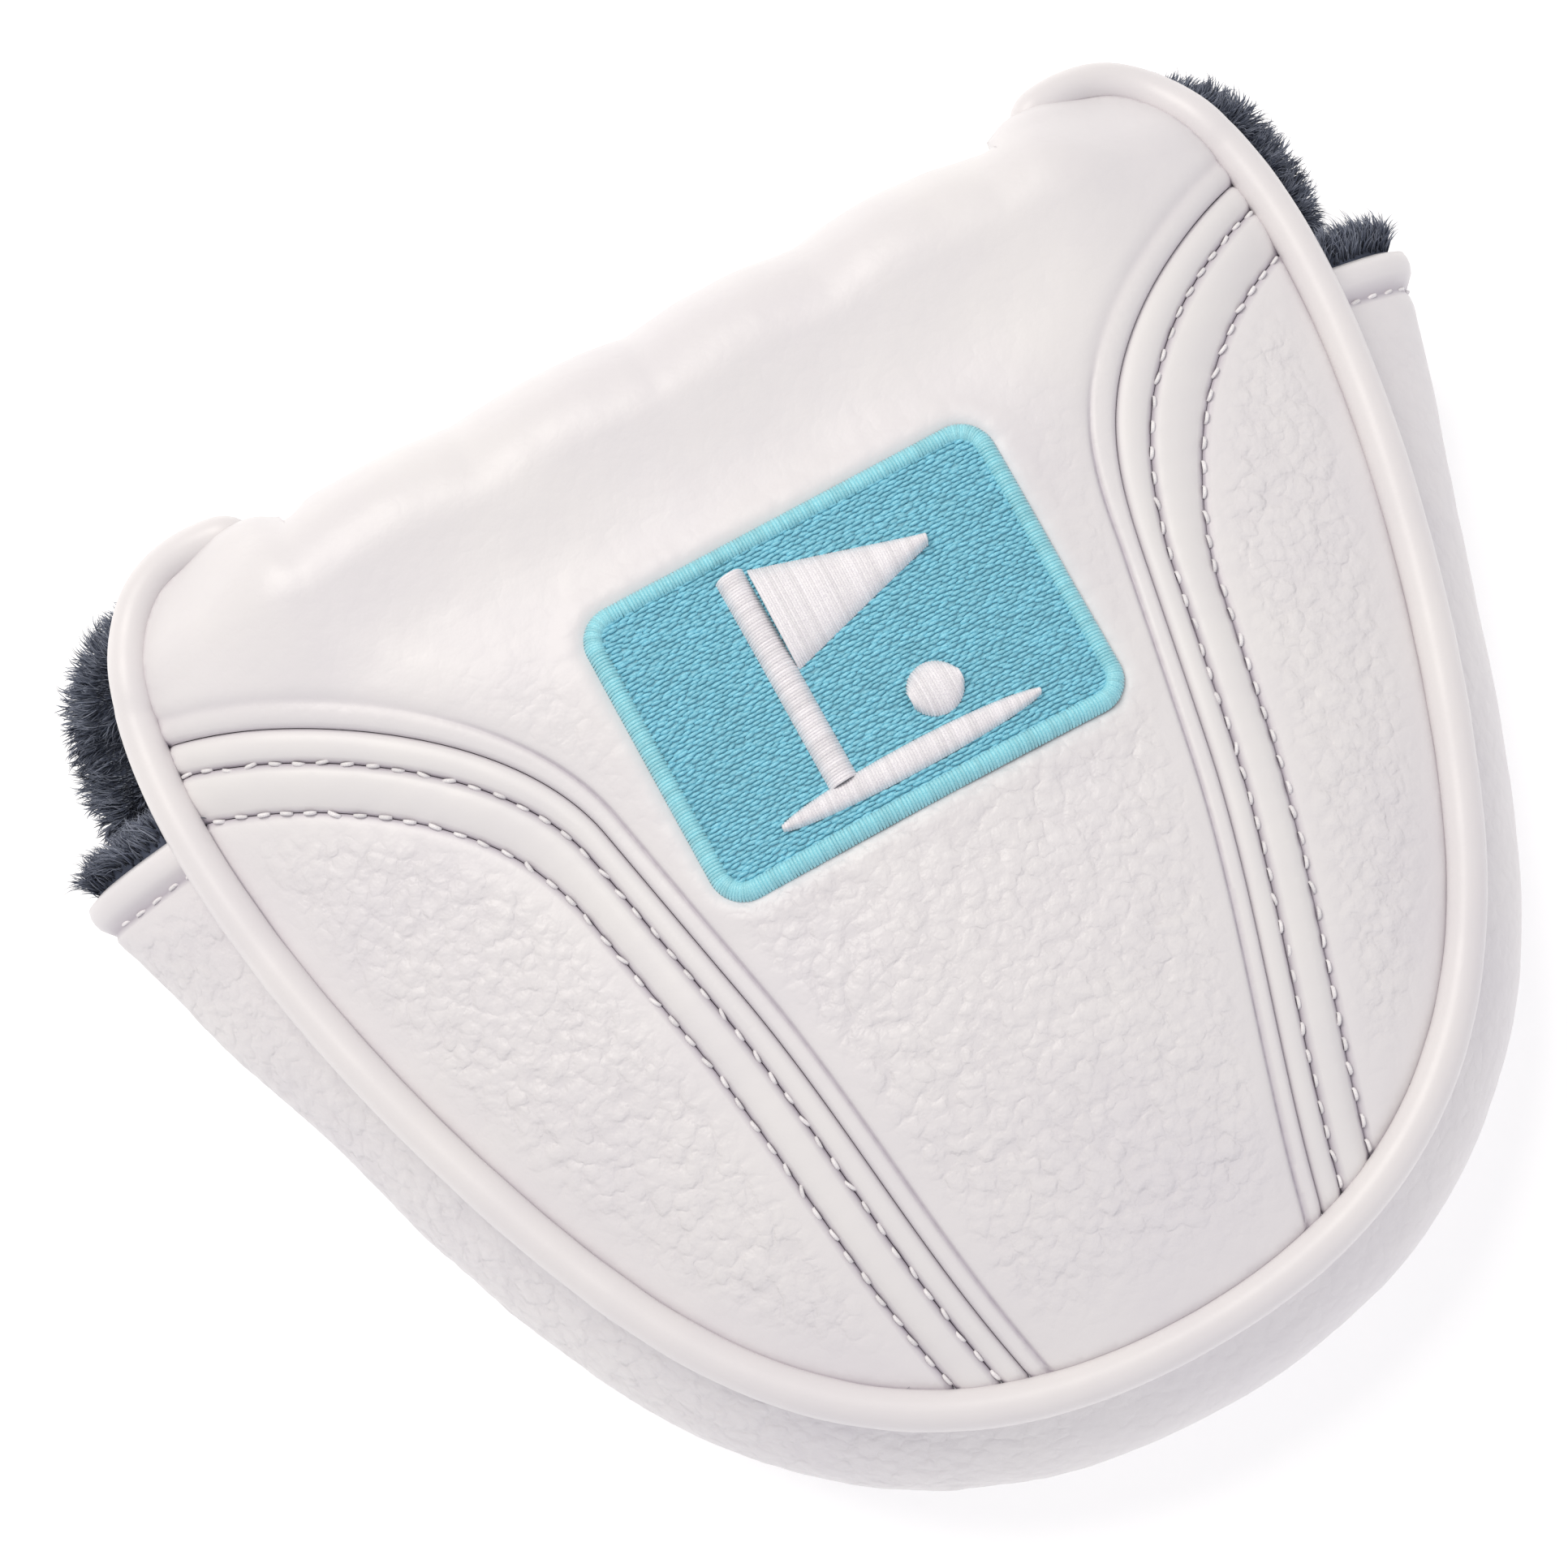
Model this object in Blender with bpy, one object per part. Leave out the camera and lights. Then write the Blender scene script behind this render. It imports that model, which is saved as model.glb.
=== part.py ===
"""Padded leather cover for a mallet putter head.

The cover lies on its back: the front panel faces up (+Z), the spine is at +Y and the round
end is at -Y. Front panel, side wall and rear panel are sewn into one pouch. The spine and the
closure flap fold on two straight lines along X. Design lengths below are in millimetres, on
the cover's own centre line; a mesh is scaled to metres when it is made.
"""

import math

import bmesh
import bpy
from mathutils import Vector
from mathutils.geometry import delaunay_2d_cdt

MM = 0.001
GAP = 0.3                     # between neighbouring pieces
CENTRE_Y = 2.4                # middle of the cover's length, moved to the origin

# The layers of each wall, as depths below its leather face: (outer face, inner face).
LEATHER = (0.0, 1.2)
FRONT_FOAM = (1.9, 4.4)
FRONT_LINING = (4.9, 7.8)
THIN_FOAM = (1.7, 3.0)
THIN_LINING = (3.6, 6.0)
FLAP_FOAM = (1.7, 2.8)
GRID = 11.0                   # between the points inside a curved panel
EDGE_ROOM = 1.4               # kept free of those points beside its edge

# Right half of the front panel's seam, seen from above, as Bezier segments: the round end,
# the side, the ear and the neck beside the spine.
FRONT_SEAM = (
    ((0.0, -58.3), (24.0, -58.3), (39.4, -48.5), (50.0, -29.2)),
    ((50.0, -29.2), (58.6, -13.4), (68.9, 18.0), (69.7, 42.0)),
    ((69.7, 42.0), (70.2, 57.5), (66.4, 69.3), (58.6, 69.3)),
    ((58.6, 69.3), (53.0, 69.3), (49.0, 68.3), (45.4, 66.6)),
)
SEAM_TIP_Y = -58.3
EAR_TOP_Y = 69.3
HEM_Y = 42.0                  # where the side wall's two ends stop
MOUTH_Y = 44.0                # straight edge of the rear panel

# Height of the front panel.
FRONT_EDGE_Z = 37.0
CROWN = 11.0                  # rise of the middle above the seam
CROWN_AT_BEND = 9.0
CROWN_FULL_Y = 5.0
BEND_Y = 57.0                 # where the leather starts to roll over the spine
BEND_RADIUS = 10.0
BEND_FLAT_SHARE = 0.69        # share of the width that is level at the bend
SPINE_HALF = 45.0
EAR_SLOPE = 0.6

# Folds: the leather is parted in the middle of each bend, deeper layers a little sooner.
FOLD_ANGLE = math.radians(45.0)
LEATHER_ANGLE = math.radians(44.0)
FOAM_ANGLE = math.radians(41.0)
LINING_ANGLE = math.radians(38.0)
UPPER_BEND_Z = FRONT_EDGE_Z + CROWN_AT_BEND - BEND_RADIUS
LOWER_BEND_Z = BEND_RADIUS
BEND_SHARE = 0.3              # of the spine's way from bend to bend, taken by each bend

# Rear panel.
REAR_EDGE_LIFT = 4.5          # rise of its seam above its flat middle
REAR_FLAT_SHARE = 0.6
STEP = 6.4                    # rise of the stretch that the flap covers
STEP_START_Y, STEP_END_Y = -8.0, 14.0

# Side wall.
WALL_TOP_Z = 33.9
WALL_OUT = 1.9                # from the seam outwards
WALL_BULGE = 8.8
HEM_FLARE = 5.5
FLARE_FROM_Y = 5.0

# Piping.
PIPING_RADIUS = 2.15
CORD_RADIUS = 1.15
SKIN_INNER_RADIUS = 1.45
PIPING_OUT = 2.2              # its middle, outwards from the leather's edge
PIPING_SUNK = 0.6             # its middle, below the front's face
SPINE_WELT_BOW = 0.3          # outwards, halfway down the spine
FRONT_PIPING_END_X = 50.0     # it stops beside the neck, clear of the spine's own piping
FLAP_PIPING_END_X = 49.0
SKIN_SLIT = math.radians(22.0)   # half the gap where the folded strip is sewn in

# The four stitched lines that curve across the front, between an inner and an outer one.
INNER_LINE = {"end": 16.0, "knee": (31.9, 20.0), "reach": 20.0, "start": 55.2}
OUTER_LINE = {"end": 26.1, "knee": (39.6, 10.0), "reach": 14.0, "start": 42.3}
LINE_SLOPE = (0.196, 0.98)
LINE_ARRIVAL = (0.915, 0.40)
ARRIVAL_REACH = 18.0
PANEL_LINE, NARROW_LINE, WIDE_LINE = 0.23, 0.53, 1.0   # shares of the way across

# Patch.
PATCH_X, PATCH_Y = 2.2, 21.4
PATCH_W, PATCH_H, PATCH_CORNER = 50.4, 36.2, 4.0
PATCH_BORDER = 2.0
PATCH_BASE = (-1.5, -0.5)     # negative depths stand proud of the leather
PATCH_RIM = (-1.9, -0.5)
MOTIF = (-3.2, -2.0)

# Closure flap, right half of its leather's edge.
FLAP_EAR, FLAP_TOP_Y = 71.0, 68.0
LINING_EAR, LINING_TOP_Y = 79.0, 69.5
FLAP_END_Y = 18.0
FLAP_CURL = 14.0
CURL_FROM_X, CURL_SPAN = 48.0, 30.0
CURL_FULL_Y = 55.0

# Embroidery on the spine.
DIAMONDS = 7
DIAMOND_PITCH = 11.0
DIAMOND_HALF_HEIGHT, DIAMOND_NECK = 6.5, 0.8
EMBROIDERY_PROUD = 1.0

# Magnets.
MAGNET_X, MAGNET_Y = 22.0, 33.0
MAGNET_RADIUS, MAGNET_HEIGHT = 8.0, 1.2

WHITE = (0.86, 0.83, 0.85, 1.0)
SLATE = (0.055, 0.065, 0.10, 1.0)
FOAM_GREY = (0.55, 0.55, 0.52, 1.0)
CORD_CREAM = (0.75, 0.72, 0.62, 1.0)
BLUE = (0.16, 0.55, 0.67, 1.0)
PALE_BLUE = (0.28, 0.66, 0.76, 1.0)
THREAD_WHITE = (0.85, 0.83, 0.88, 1.0)
STEEL = (0.55, 0.56, 0.58, 1.0)


# ---------------------------------------------------------------- curves and surfaces

def ease(value, start, end):
    """Smooth step from 0 at start to 1 at end."""
    t = min(1.0, max(0.0, (value - start) / (end - start)))
    return t * t * (3.0 - 2.0 * t)


def mix(a, b, share):
    return a + (b - a) * share


def bezier(p0, p1, p2, p3, steps):
    """Points along one cubic segment, without its last one."""
    points = []
    for i in range(steps):
        t = i / steps
        a, b, c, d = (1 - t) ** 3, 3 * t * (1 - t) ** 2, 3 * t * t * (1 - t), t ** 3
        points.append(tuple(a * p0[k] + b * p1[k] + c * p2[k] + d * p3[k] for k in (0, 1)))
    return points


def trace(segments, steps):
    points = []
    for segment, count in zip(segments, steps):
        points += bezier(*segment, count)
    return points + [segments[-1][3]]


SEAM_FINE = trace(FRONT_SEAM[:3], (60, 60, 30))


def half_width(y):
    """Half the width of the front panel's seam at y."""
    y = min(max(y, SEAM_TIP_Y + 0.01), EAR_TOP_Y - 0.5)
    for (x0, y0), (x1, y1) in zip(SEAM_FINE, SEAM_FINE[1:]):
        if y0 <= y <= y1:
            return max(0.5, mix(x0, x1, (y - y0) / max(y1 - y0, 1e-9)))
    return SEAM_FINE[-1][0]


def crowned(share, flat):
    """1 over the flat share of a width, falling to 0 at its edge."""
    return 1.0 - (max(0.0, min(1.0, share) - flat) / (1.0 - flat)) ** 2


def roll_drop(y, limit):
    """Fall of the bend's circle below its start, straight on once it is as steep as limit."""
    run = max(0.0, y - BEND_Y)
    corner = BEND_RADIUS * limit / math.hypot(1.0, limit)
    if run <= corner:
        return BEND_RADIUS - math.sqrt(BEND_RADIUS ** 2 - run ** 2)
    return BEND_RADIUS * (1 - 1 / math.hypot(1.0, limit)) + (run - corner) * limit


def bend_drop(x, y):
    """The middle rolls over the spine; the ears beside it only droop."""
    ear = ease(abs(x), SPINE_HALF + 1, SPINE_HALF + 8)
    return mix(roll_drop(y, 1.0), roll_drop(y, EAR_SLOPE), ear)


def front_height(x, y):
    level_y = min(y, BEND_Y)
    flat = BEND_FLAT_SHARE * ease(level_y, 15.0, BEND_Y)
    across = crowned(abs(x) / half_width(level_y), flat)
    reach = max(0.0, CROWN_FULL_Y - level_y) / (CROWN_FULL_Y - SEAM_TIP_Y)
    along = 1.0 - min(1.0, reach) ** 2.5
    top = mix(CROWN, CROWN_AT_BEND, ease(level_y, 20.0, BEND_Y))
    return FRONT_EDGE_Z + top * along * across - bend_drop(x, y)


def rear_height(x, y):
    across = crowned(abs(x) / half_width(y), REAR_FLAT_SHARE)
    along = crowned(max(0.0, y / SEAM_TIP_Y), REAR_FLAT_SHARE)
    step = STEP * ease(y, STEP_START_Y, STEP_END_Y)
    return REAR_EDGE_LIFT * (1.0 - across * along) + step


def flap_height(x, y):
    out = max(0.0, abs(x) - CURL_FROM_X) / CURL_SPAN
    return FLAP_CURL * out * out * ease(y, MOUTH_Y, CURL_FULL_Y) + bend_drop(x, y)


def on_surface(height, x, y, depth, facing):
    """The point at a depth under a surface; facing is 1 if its leather faces up, else -1."""
    step = 0.2
    slope_x = (height(x + step, y) - height(x - step, y)) / (2 * step)
    slope_y = (height(x, y + step) - height(x, y - step)) / (2 * step)
    normal = Vector((-slope_x, -slope_y, 1.0)).normalized()
    return Vector((x, y, height(x, y))) - normal * depth * facing


def offset(points, distance, closed=True):
    """A plan curve moved to its right by a distance; a curve run anticlockwise grows."""
    moved = []
    count = len(points)
    for i, (x, y) in enumerate(points):
        before = points[(i - 1) % count] if closed or i else points[i]
        after = points[(i + 1) % count] if closed or i < count - 1 else points[i]
        run = Vector((after[0] - before[0], after[1] - before[1])).normalized()
        moved.append((x + run.y * distance, y - run.x * distance))
    return moved


def mirrored(half):
    """The right half of an outline, given from the bottom up, made whole anticlockwise."""
    left = [(-x, y) for x, y in reversed(half) if x > 0.01]
    return half + left


# ---------------------------------------------------------------- meshes

def grid_rows():
    """Rows of the grid that all layers share: even ones, and closer ones round the bend."""
    rows = [BEND_Y - GRID * k for k in (1, 2, 3, 7, 8, 9, 10)] + [BEND_Y - 3.5, BEND_Y]
    rows += [mix(STEP_START_Y, STEP_END_Y, k / 6) for k in range(7)]
    rows.append(BEND_Y - 7.3)
    return rows + [BEND_Y + BEND_RADIUS * math.sin(math.radians(a)) for a in (11.0, 21.0, 30.0)]


def add_plate(mesh, outline, height, layer, facing=1):
    """One closed slab between two depths of a surface, inside a plan outline."""
    corners = [Vector(p) for p in outline]
    lattice = []
    for y in grid_rows():
        for column in range(-7, 8):
            x = column * GRID
            if inside(corners, x, y) and distance_to(corners, x, y) > EDGE_ROOM:
                lattice.append(Vector((x, y)))
    ring = list(range(len(corners)))
    found = delaunay_2d_cdt(corners + lattice, [], [ring], 1, 1e-5)
    flat, triangles = found[0], found[2]
    skins = []
    for depth in layer:
        skins.append([mesh.verts.new(on_surface(height, p.x, p.y, depth, facing)) for p in flat])
    outer, inner = skins
    edges = {}
    for a, b, c in triangles:
        mesh.faces.new([outer[i] for i in (a, b, c)])
        mesh.faces.new([inner[i] for i in (c, b, a)])
        for pair in ((a, b), (b, c), (c, a)):
            edges[pair] = True
    for a, b in edges:
        if (b, a) not in edges:
            mesh.faces.new((outer[b], outer[a], inner[a], inner[b]))


def inside(corners, x, y):
    hit = False
    for a, b in zip(corners, corners[1:] + corners[:1]):
        if (a.y > y) != (b.y > y) and x < (b.x - a.x) * (y - a.y) / (b.y - a.y) + a.x:
            hit = not hit
    return hit


def distance_to(corners, x, y):
    point = Vector((x, y))
    best = 1e9
    for a, b in zip(corners, corners[1:] + corners[:1]):
        along = (point - a).dot(b - a) / max((b - a).length_squared, 1e-9)
        best = min(best, (a + (b - a) * min(1.0, max(0.0, along)) - point).length)
    return best


def add_rings(mesh, rings, closed=False):
    """Joins rings of equally many points into one solid, capped unless it is closed.

    A ring runs along a layer's outer face and back along its inner face, so that strips of
    quads between the two close its ends.
    """
    made = [[mesh.verts.new(point) for point in ring] for ring in rings]
    count = len(made[0])
    pairs = list(zip(made, made[1:])) + ([(made[-1], made[0])] if closed else [])
    for first, second in pairs:
        for i in range(count):
            j = (i + 1) % count
            mesh.faces.new((first[i], first[j], second[j], second[i]))
    if not closed:
        for k in range(count // 2 - 1):
            quad = (k, k + 1, count - 2 - k, count - 1 - k)
            mesh.faces.new([made[0][i] for i in reversed(quad)])
            mesh.faces.new([made[-1][i] for i in quad])


def add_band(mesh, inner_edge, outer_edge, height, layer, across=2, closed=False):
    """A strip on a surface between two plan curves with equally many points."""
    rings = []
    for a, b in zip(inner_edge, outer_edge):
        plan = [(mix(a[0], b[0], k / across), mix(a[1], b[1], k / across)) for k in range(across + 1)]
        top = [on_surface(height, x, y, layer[0], 1) for x, y in plan]
        under = [on_surface(height, x, y, layer[1], 1) for x, y in reversed(plan)]
        rings.append(top + under)
    add_rings(mesh, rings, closed)


def solid(name, colour, build, roughness=0.55, metallic=0.0, sharp=40.0):
    """A named object from a function that adds faces to a bmesh, in millimetres."""
    mesh = bmesh.new()
    build(mesh)
    bmesh.ops.triangulate(mesh, faces=mesh.faces[:])
    bmesh.ops.recalc_face_normals(mesh, faces=mesh.faces[:])
    for vertex in mesh.verts:
        vertex.co = (vertex.co - Vector((0.0, CENTRE_Y, 0.0))) * MM
    data = bpy.data.meshes.new(name)
    mesh.to_mesh(data)
    mesh.free()
    data.shade_smooth()
    data.set_sharp_from_angle(angle=math.radians(sharp))
    material = bpy.data.materials.new(name)
    material.use_nodes = True
    shader = material.node_tree.nodes["Principled BSDF"]
    shader.inputs["Base Color"].default_value = colour
    shader.inputs["Roughness"].default_value = roughness
    shader.inputs["Metallic"].default_value = metallic
    material.diffuse_color = colour
    data.materials.append(material)
    part = bpy.data.objects.new(name, data)
    bpy.context.scene.collection.objects.link(part)
    return part


def plate(name, colour, outline, height, layer, facing=1, **finish):
    def build(mesh):
        add_plate(mesh, outline, height, layer, facing)
    return solid(name, colour, build, **finish)


# ---------------------------------------------------------------- front panel

def front_line(share):
    """One of the lines across the right of the front panel, from the round end to the side."""
    end_x = mix(INNER_LINE["end"], OUTER_LINE["end"], share)
    start_y = mix(INNER_LINE["start"], OUTER_LINE["start"], share)
    reach = mix(INNER_LINE["reach"], OUTER_LINE["reach"], share)
    knee = tuple(mix(INNER_LINE["knee"][k], OUTER_LINE["knee"][k], share) for k in (0, 1))
    low = min(SEAM_FINE, key=lambda p: abs(p[0] - end_x) + (0 if p[1] < 0 else 1000))
    top = (half_width(start_y), start_y)
    run = [tuple(knee[k] - LINE_SLOPE[k] * length for k in (0, 1)) for length in (44.0, 22.0)]
    rise = tuple(knee[k] + LINE_SLOPE[k] * reach for k in (0, 1))
    arrive = tuple(top[k] - LINE_ARRIVAL[k] * ARRIVAL_REACH for k in (0, 1))
    return bezier(low, run[0], run[1], knee, 8) + bezier(knee, rise, arrive, top, 9) + [top]


def seam_stretch(low_y, high_y, inset):
    """The right half of the seam between two heights, as seen in plan, moved inwards."""
    stretch = [p for p in trace(FRONT_SEAM[:3], (12, 9, 7)) if low_y < p[1] < high_y]
    return offset(stretch, -inset, closed=False)


def beside(line, distance):
    return offset(line, distance, closed=False)


def within_seam(points, inset):
    """Moves the points that lie too close to the seam back from it."""
    kept = []
    for x, y in points:
        if y > 0.0:
            kept.append((min(x, half_width(y) - inset), y))
        else:
            kept.append((x, max(y, tip_edge(x) + inset)))
    return kept


def tip_edge(x):
    """The y of the seam at the round end, at x."""
    for (x0, y0), (x1, y1) in zip(SEAM_FINE, SEAM_FINE[1:]):
        if x0 <= x <= x1:
            return mix(y0, y1, (x - x0) / max(x1 - x0, 1e-9))
    return SEAM_TIP_Y


def front_outline(inset, fold_angle):
    """The whole front panel: the seam, cut straight across the middle of the bend."""
    fold_y = BEND_Y + BEND_RADIUS * math.sin(fold_angle)
    half = offset(trace(FRONT_SEAM, (9, 9, 7, 3)), -inset, closed=False)
    half[0] = (0.0, SEAM_TIP_Y + inset)
    half[-1] = (SPINE_HALF + GAP + 0.1, half[-1][1])
    return mirrored(half + [(SPINE_HALF + GAP + 0.1, fold_y), (0.001, fold_y)])


def centre_panel():
    """The middle panel, wide between the ears and narrow at the round end."""
    fold_y = BEND_Y + BEND_RADIUS * math.sin(LEATHER_ANGLE)
    line = within_seam(beside(front_line(PANEL_LINE), -0.2), GAP)
    top_y = line[-1][1]
    ear = seam_stretch(top_y + 1.0, EAR_TOP_Y + 1.0, GAP)
    neck = offset(trace(FRONT_SEAM[3:], (3,)), -GAP, closed=False)
    neck[-1] = (SPINE_HALF + GAP + 0.1, neck[-1][1])
    tip = [p for p in offset(trace(FRONT_SEAM[:1], (9,)), -GAP, closed=False)
           if 1.0 < p[0] < line[0][0] - 2.0]
    half = [(0.0, SEAM_TIP_Y + GAP)] + tip + line + ear + neck[1:]
    half += [(SPINE_HALF + GAP + 0.1, fold_y), (0.001, fold_y)]
    plate("centre_panel", WHITE, mirrored(half), front_height, LEATHER)


def side_of(points, side):
    """The right half's points, mirrored for the left and kept anticlockwise."""
    return points if side > 0 else [(-x, y) for x, y in reversed(points)]


def side_panels(name, side):
    """The two bands and the wing on one side of the front."""
    bands = (("narrow_band", PANEL_LINE, NARROW_LINE), ("wide_band", NARROW_LINE, WIDE_LINE))
    for kind, first, second in bands:
        inner_edge = within_seam(beside(front_line(first), 0.2), GAP)
        outer_edge = within_seam(beside(front_line(second), -0.2), GAP)

        def build(mesh, inner_edge=inner_edge, outer_edge=outer_edge):
            a = [(x * side, y) for x, y in inner_edge]
            b = [(x * side, y) for x, y in outer_edge]
            add_band(mesh, a, b, front_height, LEATHER)

        solid(f"{name}_{kind}", WHITE, build)
    line = within_seam(beside(front_line(WIDE_LINE), 0.2), GAP)
    seam = seam_stretch(line[0][1] + 2.5, line[-1][1] - 3.0, GAP)
    outline = side_of(line[:1] + seam + line[:0:-1], side)
    plate(f"{name}_wing_panel", WHITE, outline, front_height, LEATHER)


def front_padding():
    foam = front_outline(1.5, FOAM_ANGLE)
    plate("front_foam", FOAM_GREY, foam, front_height, FRONT_FOAM, roughness=0.9)
    lining = front_outline(2.5, LINING_ANGLE)
    plate("front_lining", SLATE, lining, front_height, FRONT_LINING, roughness=0.95)


# ---------------------------------------------------------------- piping

def piping_rings(path, sideways, radius, parts):
    """Rings round a path: the skin is a tube with a slit towards the seam it is sewn into."""
    rings = []
    for i, point in enumerate(path):
        before, after = path[max(i - 1, 0)], path[min(i + 1, len(path) - 1)]
        along = (after - before).normalized()
        out = (sideways[i] - along * sideways[i].dot(along)).normalized()
        up = along.cross(out).normalized()
        ring = []
        for angle, reach in parts(radius):
            ring.append(point + out * math.cos(angle) * reach + up * math.sin(angle) * reach)
        rings.append(ring)
    return rings


def skin_section(radius):
    angles = [mix(-math.pi + SKIN_SLIT, math.pi - SKIN_SLIT, k / 7) for k in range(8)]
    outer = [(angle, radius) for angle in angles]
    return outer + [(angle, SKIN_INNER_RADIUS) for angle in reversed(angles)]


def cord_section(_radius):
    return [(math.tau * k / 6, CORD_RADIUS) for k in range(6)]


def piping(name, path, sideways):
    """A strip of leather folded round a cord."""
    def skin(mesh):
        add_rings(mesh, piping_rings(path, sideways, PIPING_RADIUS, skin_section))

    def core(mesh):
        add_rings(mesh, piping_rings(path, sideways, PIPING_RADIUS, cord_section))

    solid(name, WHITE, skin)
    solid(f"{name}_cord", CORD_CREAM, core, roughness=0.8)


def seam_piping(name, half, height, depth, facing, end_x):
    """Piping along the outside of a panel's edge, from the left neck round to the right one."""
    middle_y = half[len(half) // 2][1]
    right = [p for p in half if p[0] > end_x or p[1] < middle_y]
    ordered = [(-x, y) for x, y in reversed(right[1:])] + right
    path, sideways = [], []
    outwards = offset(ordered, 1.0, closed=False)
    for (x, y), (out_x, out_y) in zip(ordered, outwards):
        out = Vector((out_x - x, out_y - y, 0.0)).normalized()
        point = on_surface(height, x, y, depth(x, y), facing)
        path.append(point + out * PIPING_OUT)
        sideways.append(out)
    piping(name, path, sideways)


def front_welt():
    half = trace(FRONT_SEAM, (10, 9, 9, 4))
    seam_piping("front_welt", half, front_height, lambda x, y: PIPING_SUNK, 1, FRONT_PIPING_END_X)


# ---------------------------------------------------------------- side wall

def wall_stations(count):
    """Points of the seam from the right hem round the end to the left hem."""
    right = [p for p in trace(FRONT_SEAM[:2], (count, count)) if p[1] <= HEM_Y + 0.01]
    left = [(-x, y) for x, y in right[1:]]
    return list(reversed(left)) + right


def wall_bulge(y):
    flare = ease(y, FLARE_FROM_Y, HEM_Y + 10.0) / ease(HEM_Y, FLARE_FROM_Y, HEM_Y + 10.0)
    return WALL_BULGE + HEM_FLARE * flare


def wall_point(station, out, share, depth):
    """A point of the wall: share runs from its top edge to its bottom edge."""
    x, y = station
    bottom = rear_height(x, y) + 1.4

    def profile(t):
        bulge = wall_bulge(y) * math.sin(math.pi * min(1.0, max(0.0, t)))
        return Vector((WALL_OUT + bulge, mix(WALL_TOP_Z, bottom, t)))

    here = profile(share)
    run = (profile(share + 0.01) - profile(share - 0.01)).normalized()
    here += Vector((run.y, -run.x)) * depth
    return Vector((x + out.x * here.x, y + out.y * here.x, here.y))


def wall_layer(name, colour, layer, shares, count, rows, **finish):
    stations = wall_stations(count)
    moved = offset(stations, 1.0, closed=False)

    def build(mesh):
        rings = []
        for i, station in enumerate(stations):
            out = Vector((moved[i][0] - station[0], moved[i][1] - station[1])).normalized()
            if i in (0, len(stations) - 1):
                out = Vector((math.copysign(1.0, station[0]), 0.0))
            steps = [mix(shares[0], shares[1], k / rows) for k in range(rows + 1)]
            ring = [wall_point(station, out, t, layer[0]) for t in steps]
            ring += [wall_point(station, out, t, layer[1]) for t in reversed(steps)]
            rings.append(ring)
        add_rings(mesh, rings)

    solid(name, colour, build, **finish)


def side_wall():
    wall_layer("gusset_leather", WHITE, LEATHER, (0.0, 1.0), 11, 7)
    wall_layer("gusset_foam", FOAM_GREY, THIN_FOAM, (0.24, 0.74), 8, 3, roughness=0.9)
    wall_layer("gusset_lining", SLATE, THIN_LINING, (0.24, 0.74), 9, 3, roughness=0.95)


# ---------------------------------------------------------------- rear panel

def rear_outline(inset, top_y):
    half = [p for p in trace(FRONT_SEAM[:2], (9, 10)) if p[1] < top_y - 2.0]
    half = offset(half, -inset, closed=False)
    half[0] = (0.0, SEAM_TIP_Y + inset)
    half.append((half_width(top_y) - inset, top_y))
    half += [(x, top_y) for x in (60.0, 51.0, 38.0, 20.0)]
    return mirrored(half + [(0.001, top_y)])


def magnet_pockets(part, height_z):
    """Round holes through a foam for the two magnets."""
    for side in (-1, 1):
        bpy.ops.mesh.primitive_cylinder_add(
            vertices=20, radius=(MAGNET_RADIUS + GAP) * MM, depth=14 * MM,
            location=(side * MAGNET_X * MM, (MAGNET_Y - CENTRE_Y) * MM, height_z * MM))
        cutter = bpy.context.object
        cutter.name = f"{part.name}_pocket_{'right' if side > 0 else 'left'}"
        cutter.hide_render = True
        cutter.display_type = "WIRE"
        cut = part.modifiers.new(cutter.name, "BOOLEAN")
        cut.operation = "DIFFERENCE"
        cut.solver = "EXACT"
        cut.object = cutter


def magnets(place, low_z):
    for name, side in (("left", -1), ("right", 1)):
        def build(mesh, side=side):
            rings = []
            for z in (low_z, low_z + MAGNET_HEIGHT):
                ring = []
                for angle in (math.tau * k / 20 for k in range(20)):
                    ring.append(Vector((side * MAGNET_X + MAGNET_RADIUS * math.cos(angle),
                                        MAGNET_Y + MAGNET_RADIUS * math.sin(angle), z)))
                rings.append(ring)
            add_rings(mesh, rings)

        solid(f"{name}_{place}_magnet", STEEL, build, roughness=0.3, metallic=1.0)


def rear():
    plate("rear_panel", WHITE, rear_outline(GAP, MOUTH_Y), rear_height, LEATHER, -1)
    foam = plate("rear_foam", FOAM_GREY, rear_outline(1.5, MOUTH_Y - 1.5), rear_height,
                 THIN_FOAM, -1, roughness=0.9)
    magnet_pockets(foam, STEP + 2.0)
    magnets("rear", STEP + THIN_FOAM[0] + 0.05)
    plate("rear_lining", SLATE, rear_outline(2.5, MOUTH_Y - 0.5), rear_height,
          THIN_LINING, -1, roughness=0.95)


# ---------------------------------------------------------------- spine

def wrap_point(x, share, depth, start):
    """A point of the spine: share 0 to 1 runs over the upper bend, the face and the lower bend."""
    radius = BEND_RADIUS - depth
    if share < BEND_SHARE:
        angle = mix(start, math.pi / 2, share / BEND_SHARE)
        return Vector((x, BEND_Y + radius * math.sin(angle), UPPER_BEND_Z + radius * math.cos(angle)))
    if share <= 1.0 - BEND_SHARE:
        z = mix(UPPER_BEND_Z, LOWER_BEND_Z, (share - BEND_SHARE) / (1.0 - 2 * BEND_SHARE))
        return Vector((x, BEND_Y + radius, z))
    angle = mix(math.pi / 2, math.pi - start, (share - 1.0 + BEND_SHARE) / BEND_SHARE)
    return Vector((x, BEND_Y + radius * math.sin(angle), LOWER_BEND_Z + radius * math.cos(angle)))


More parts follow.
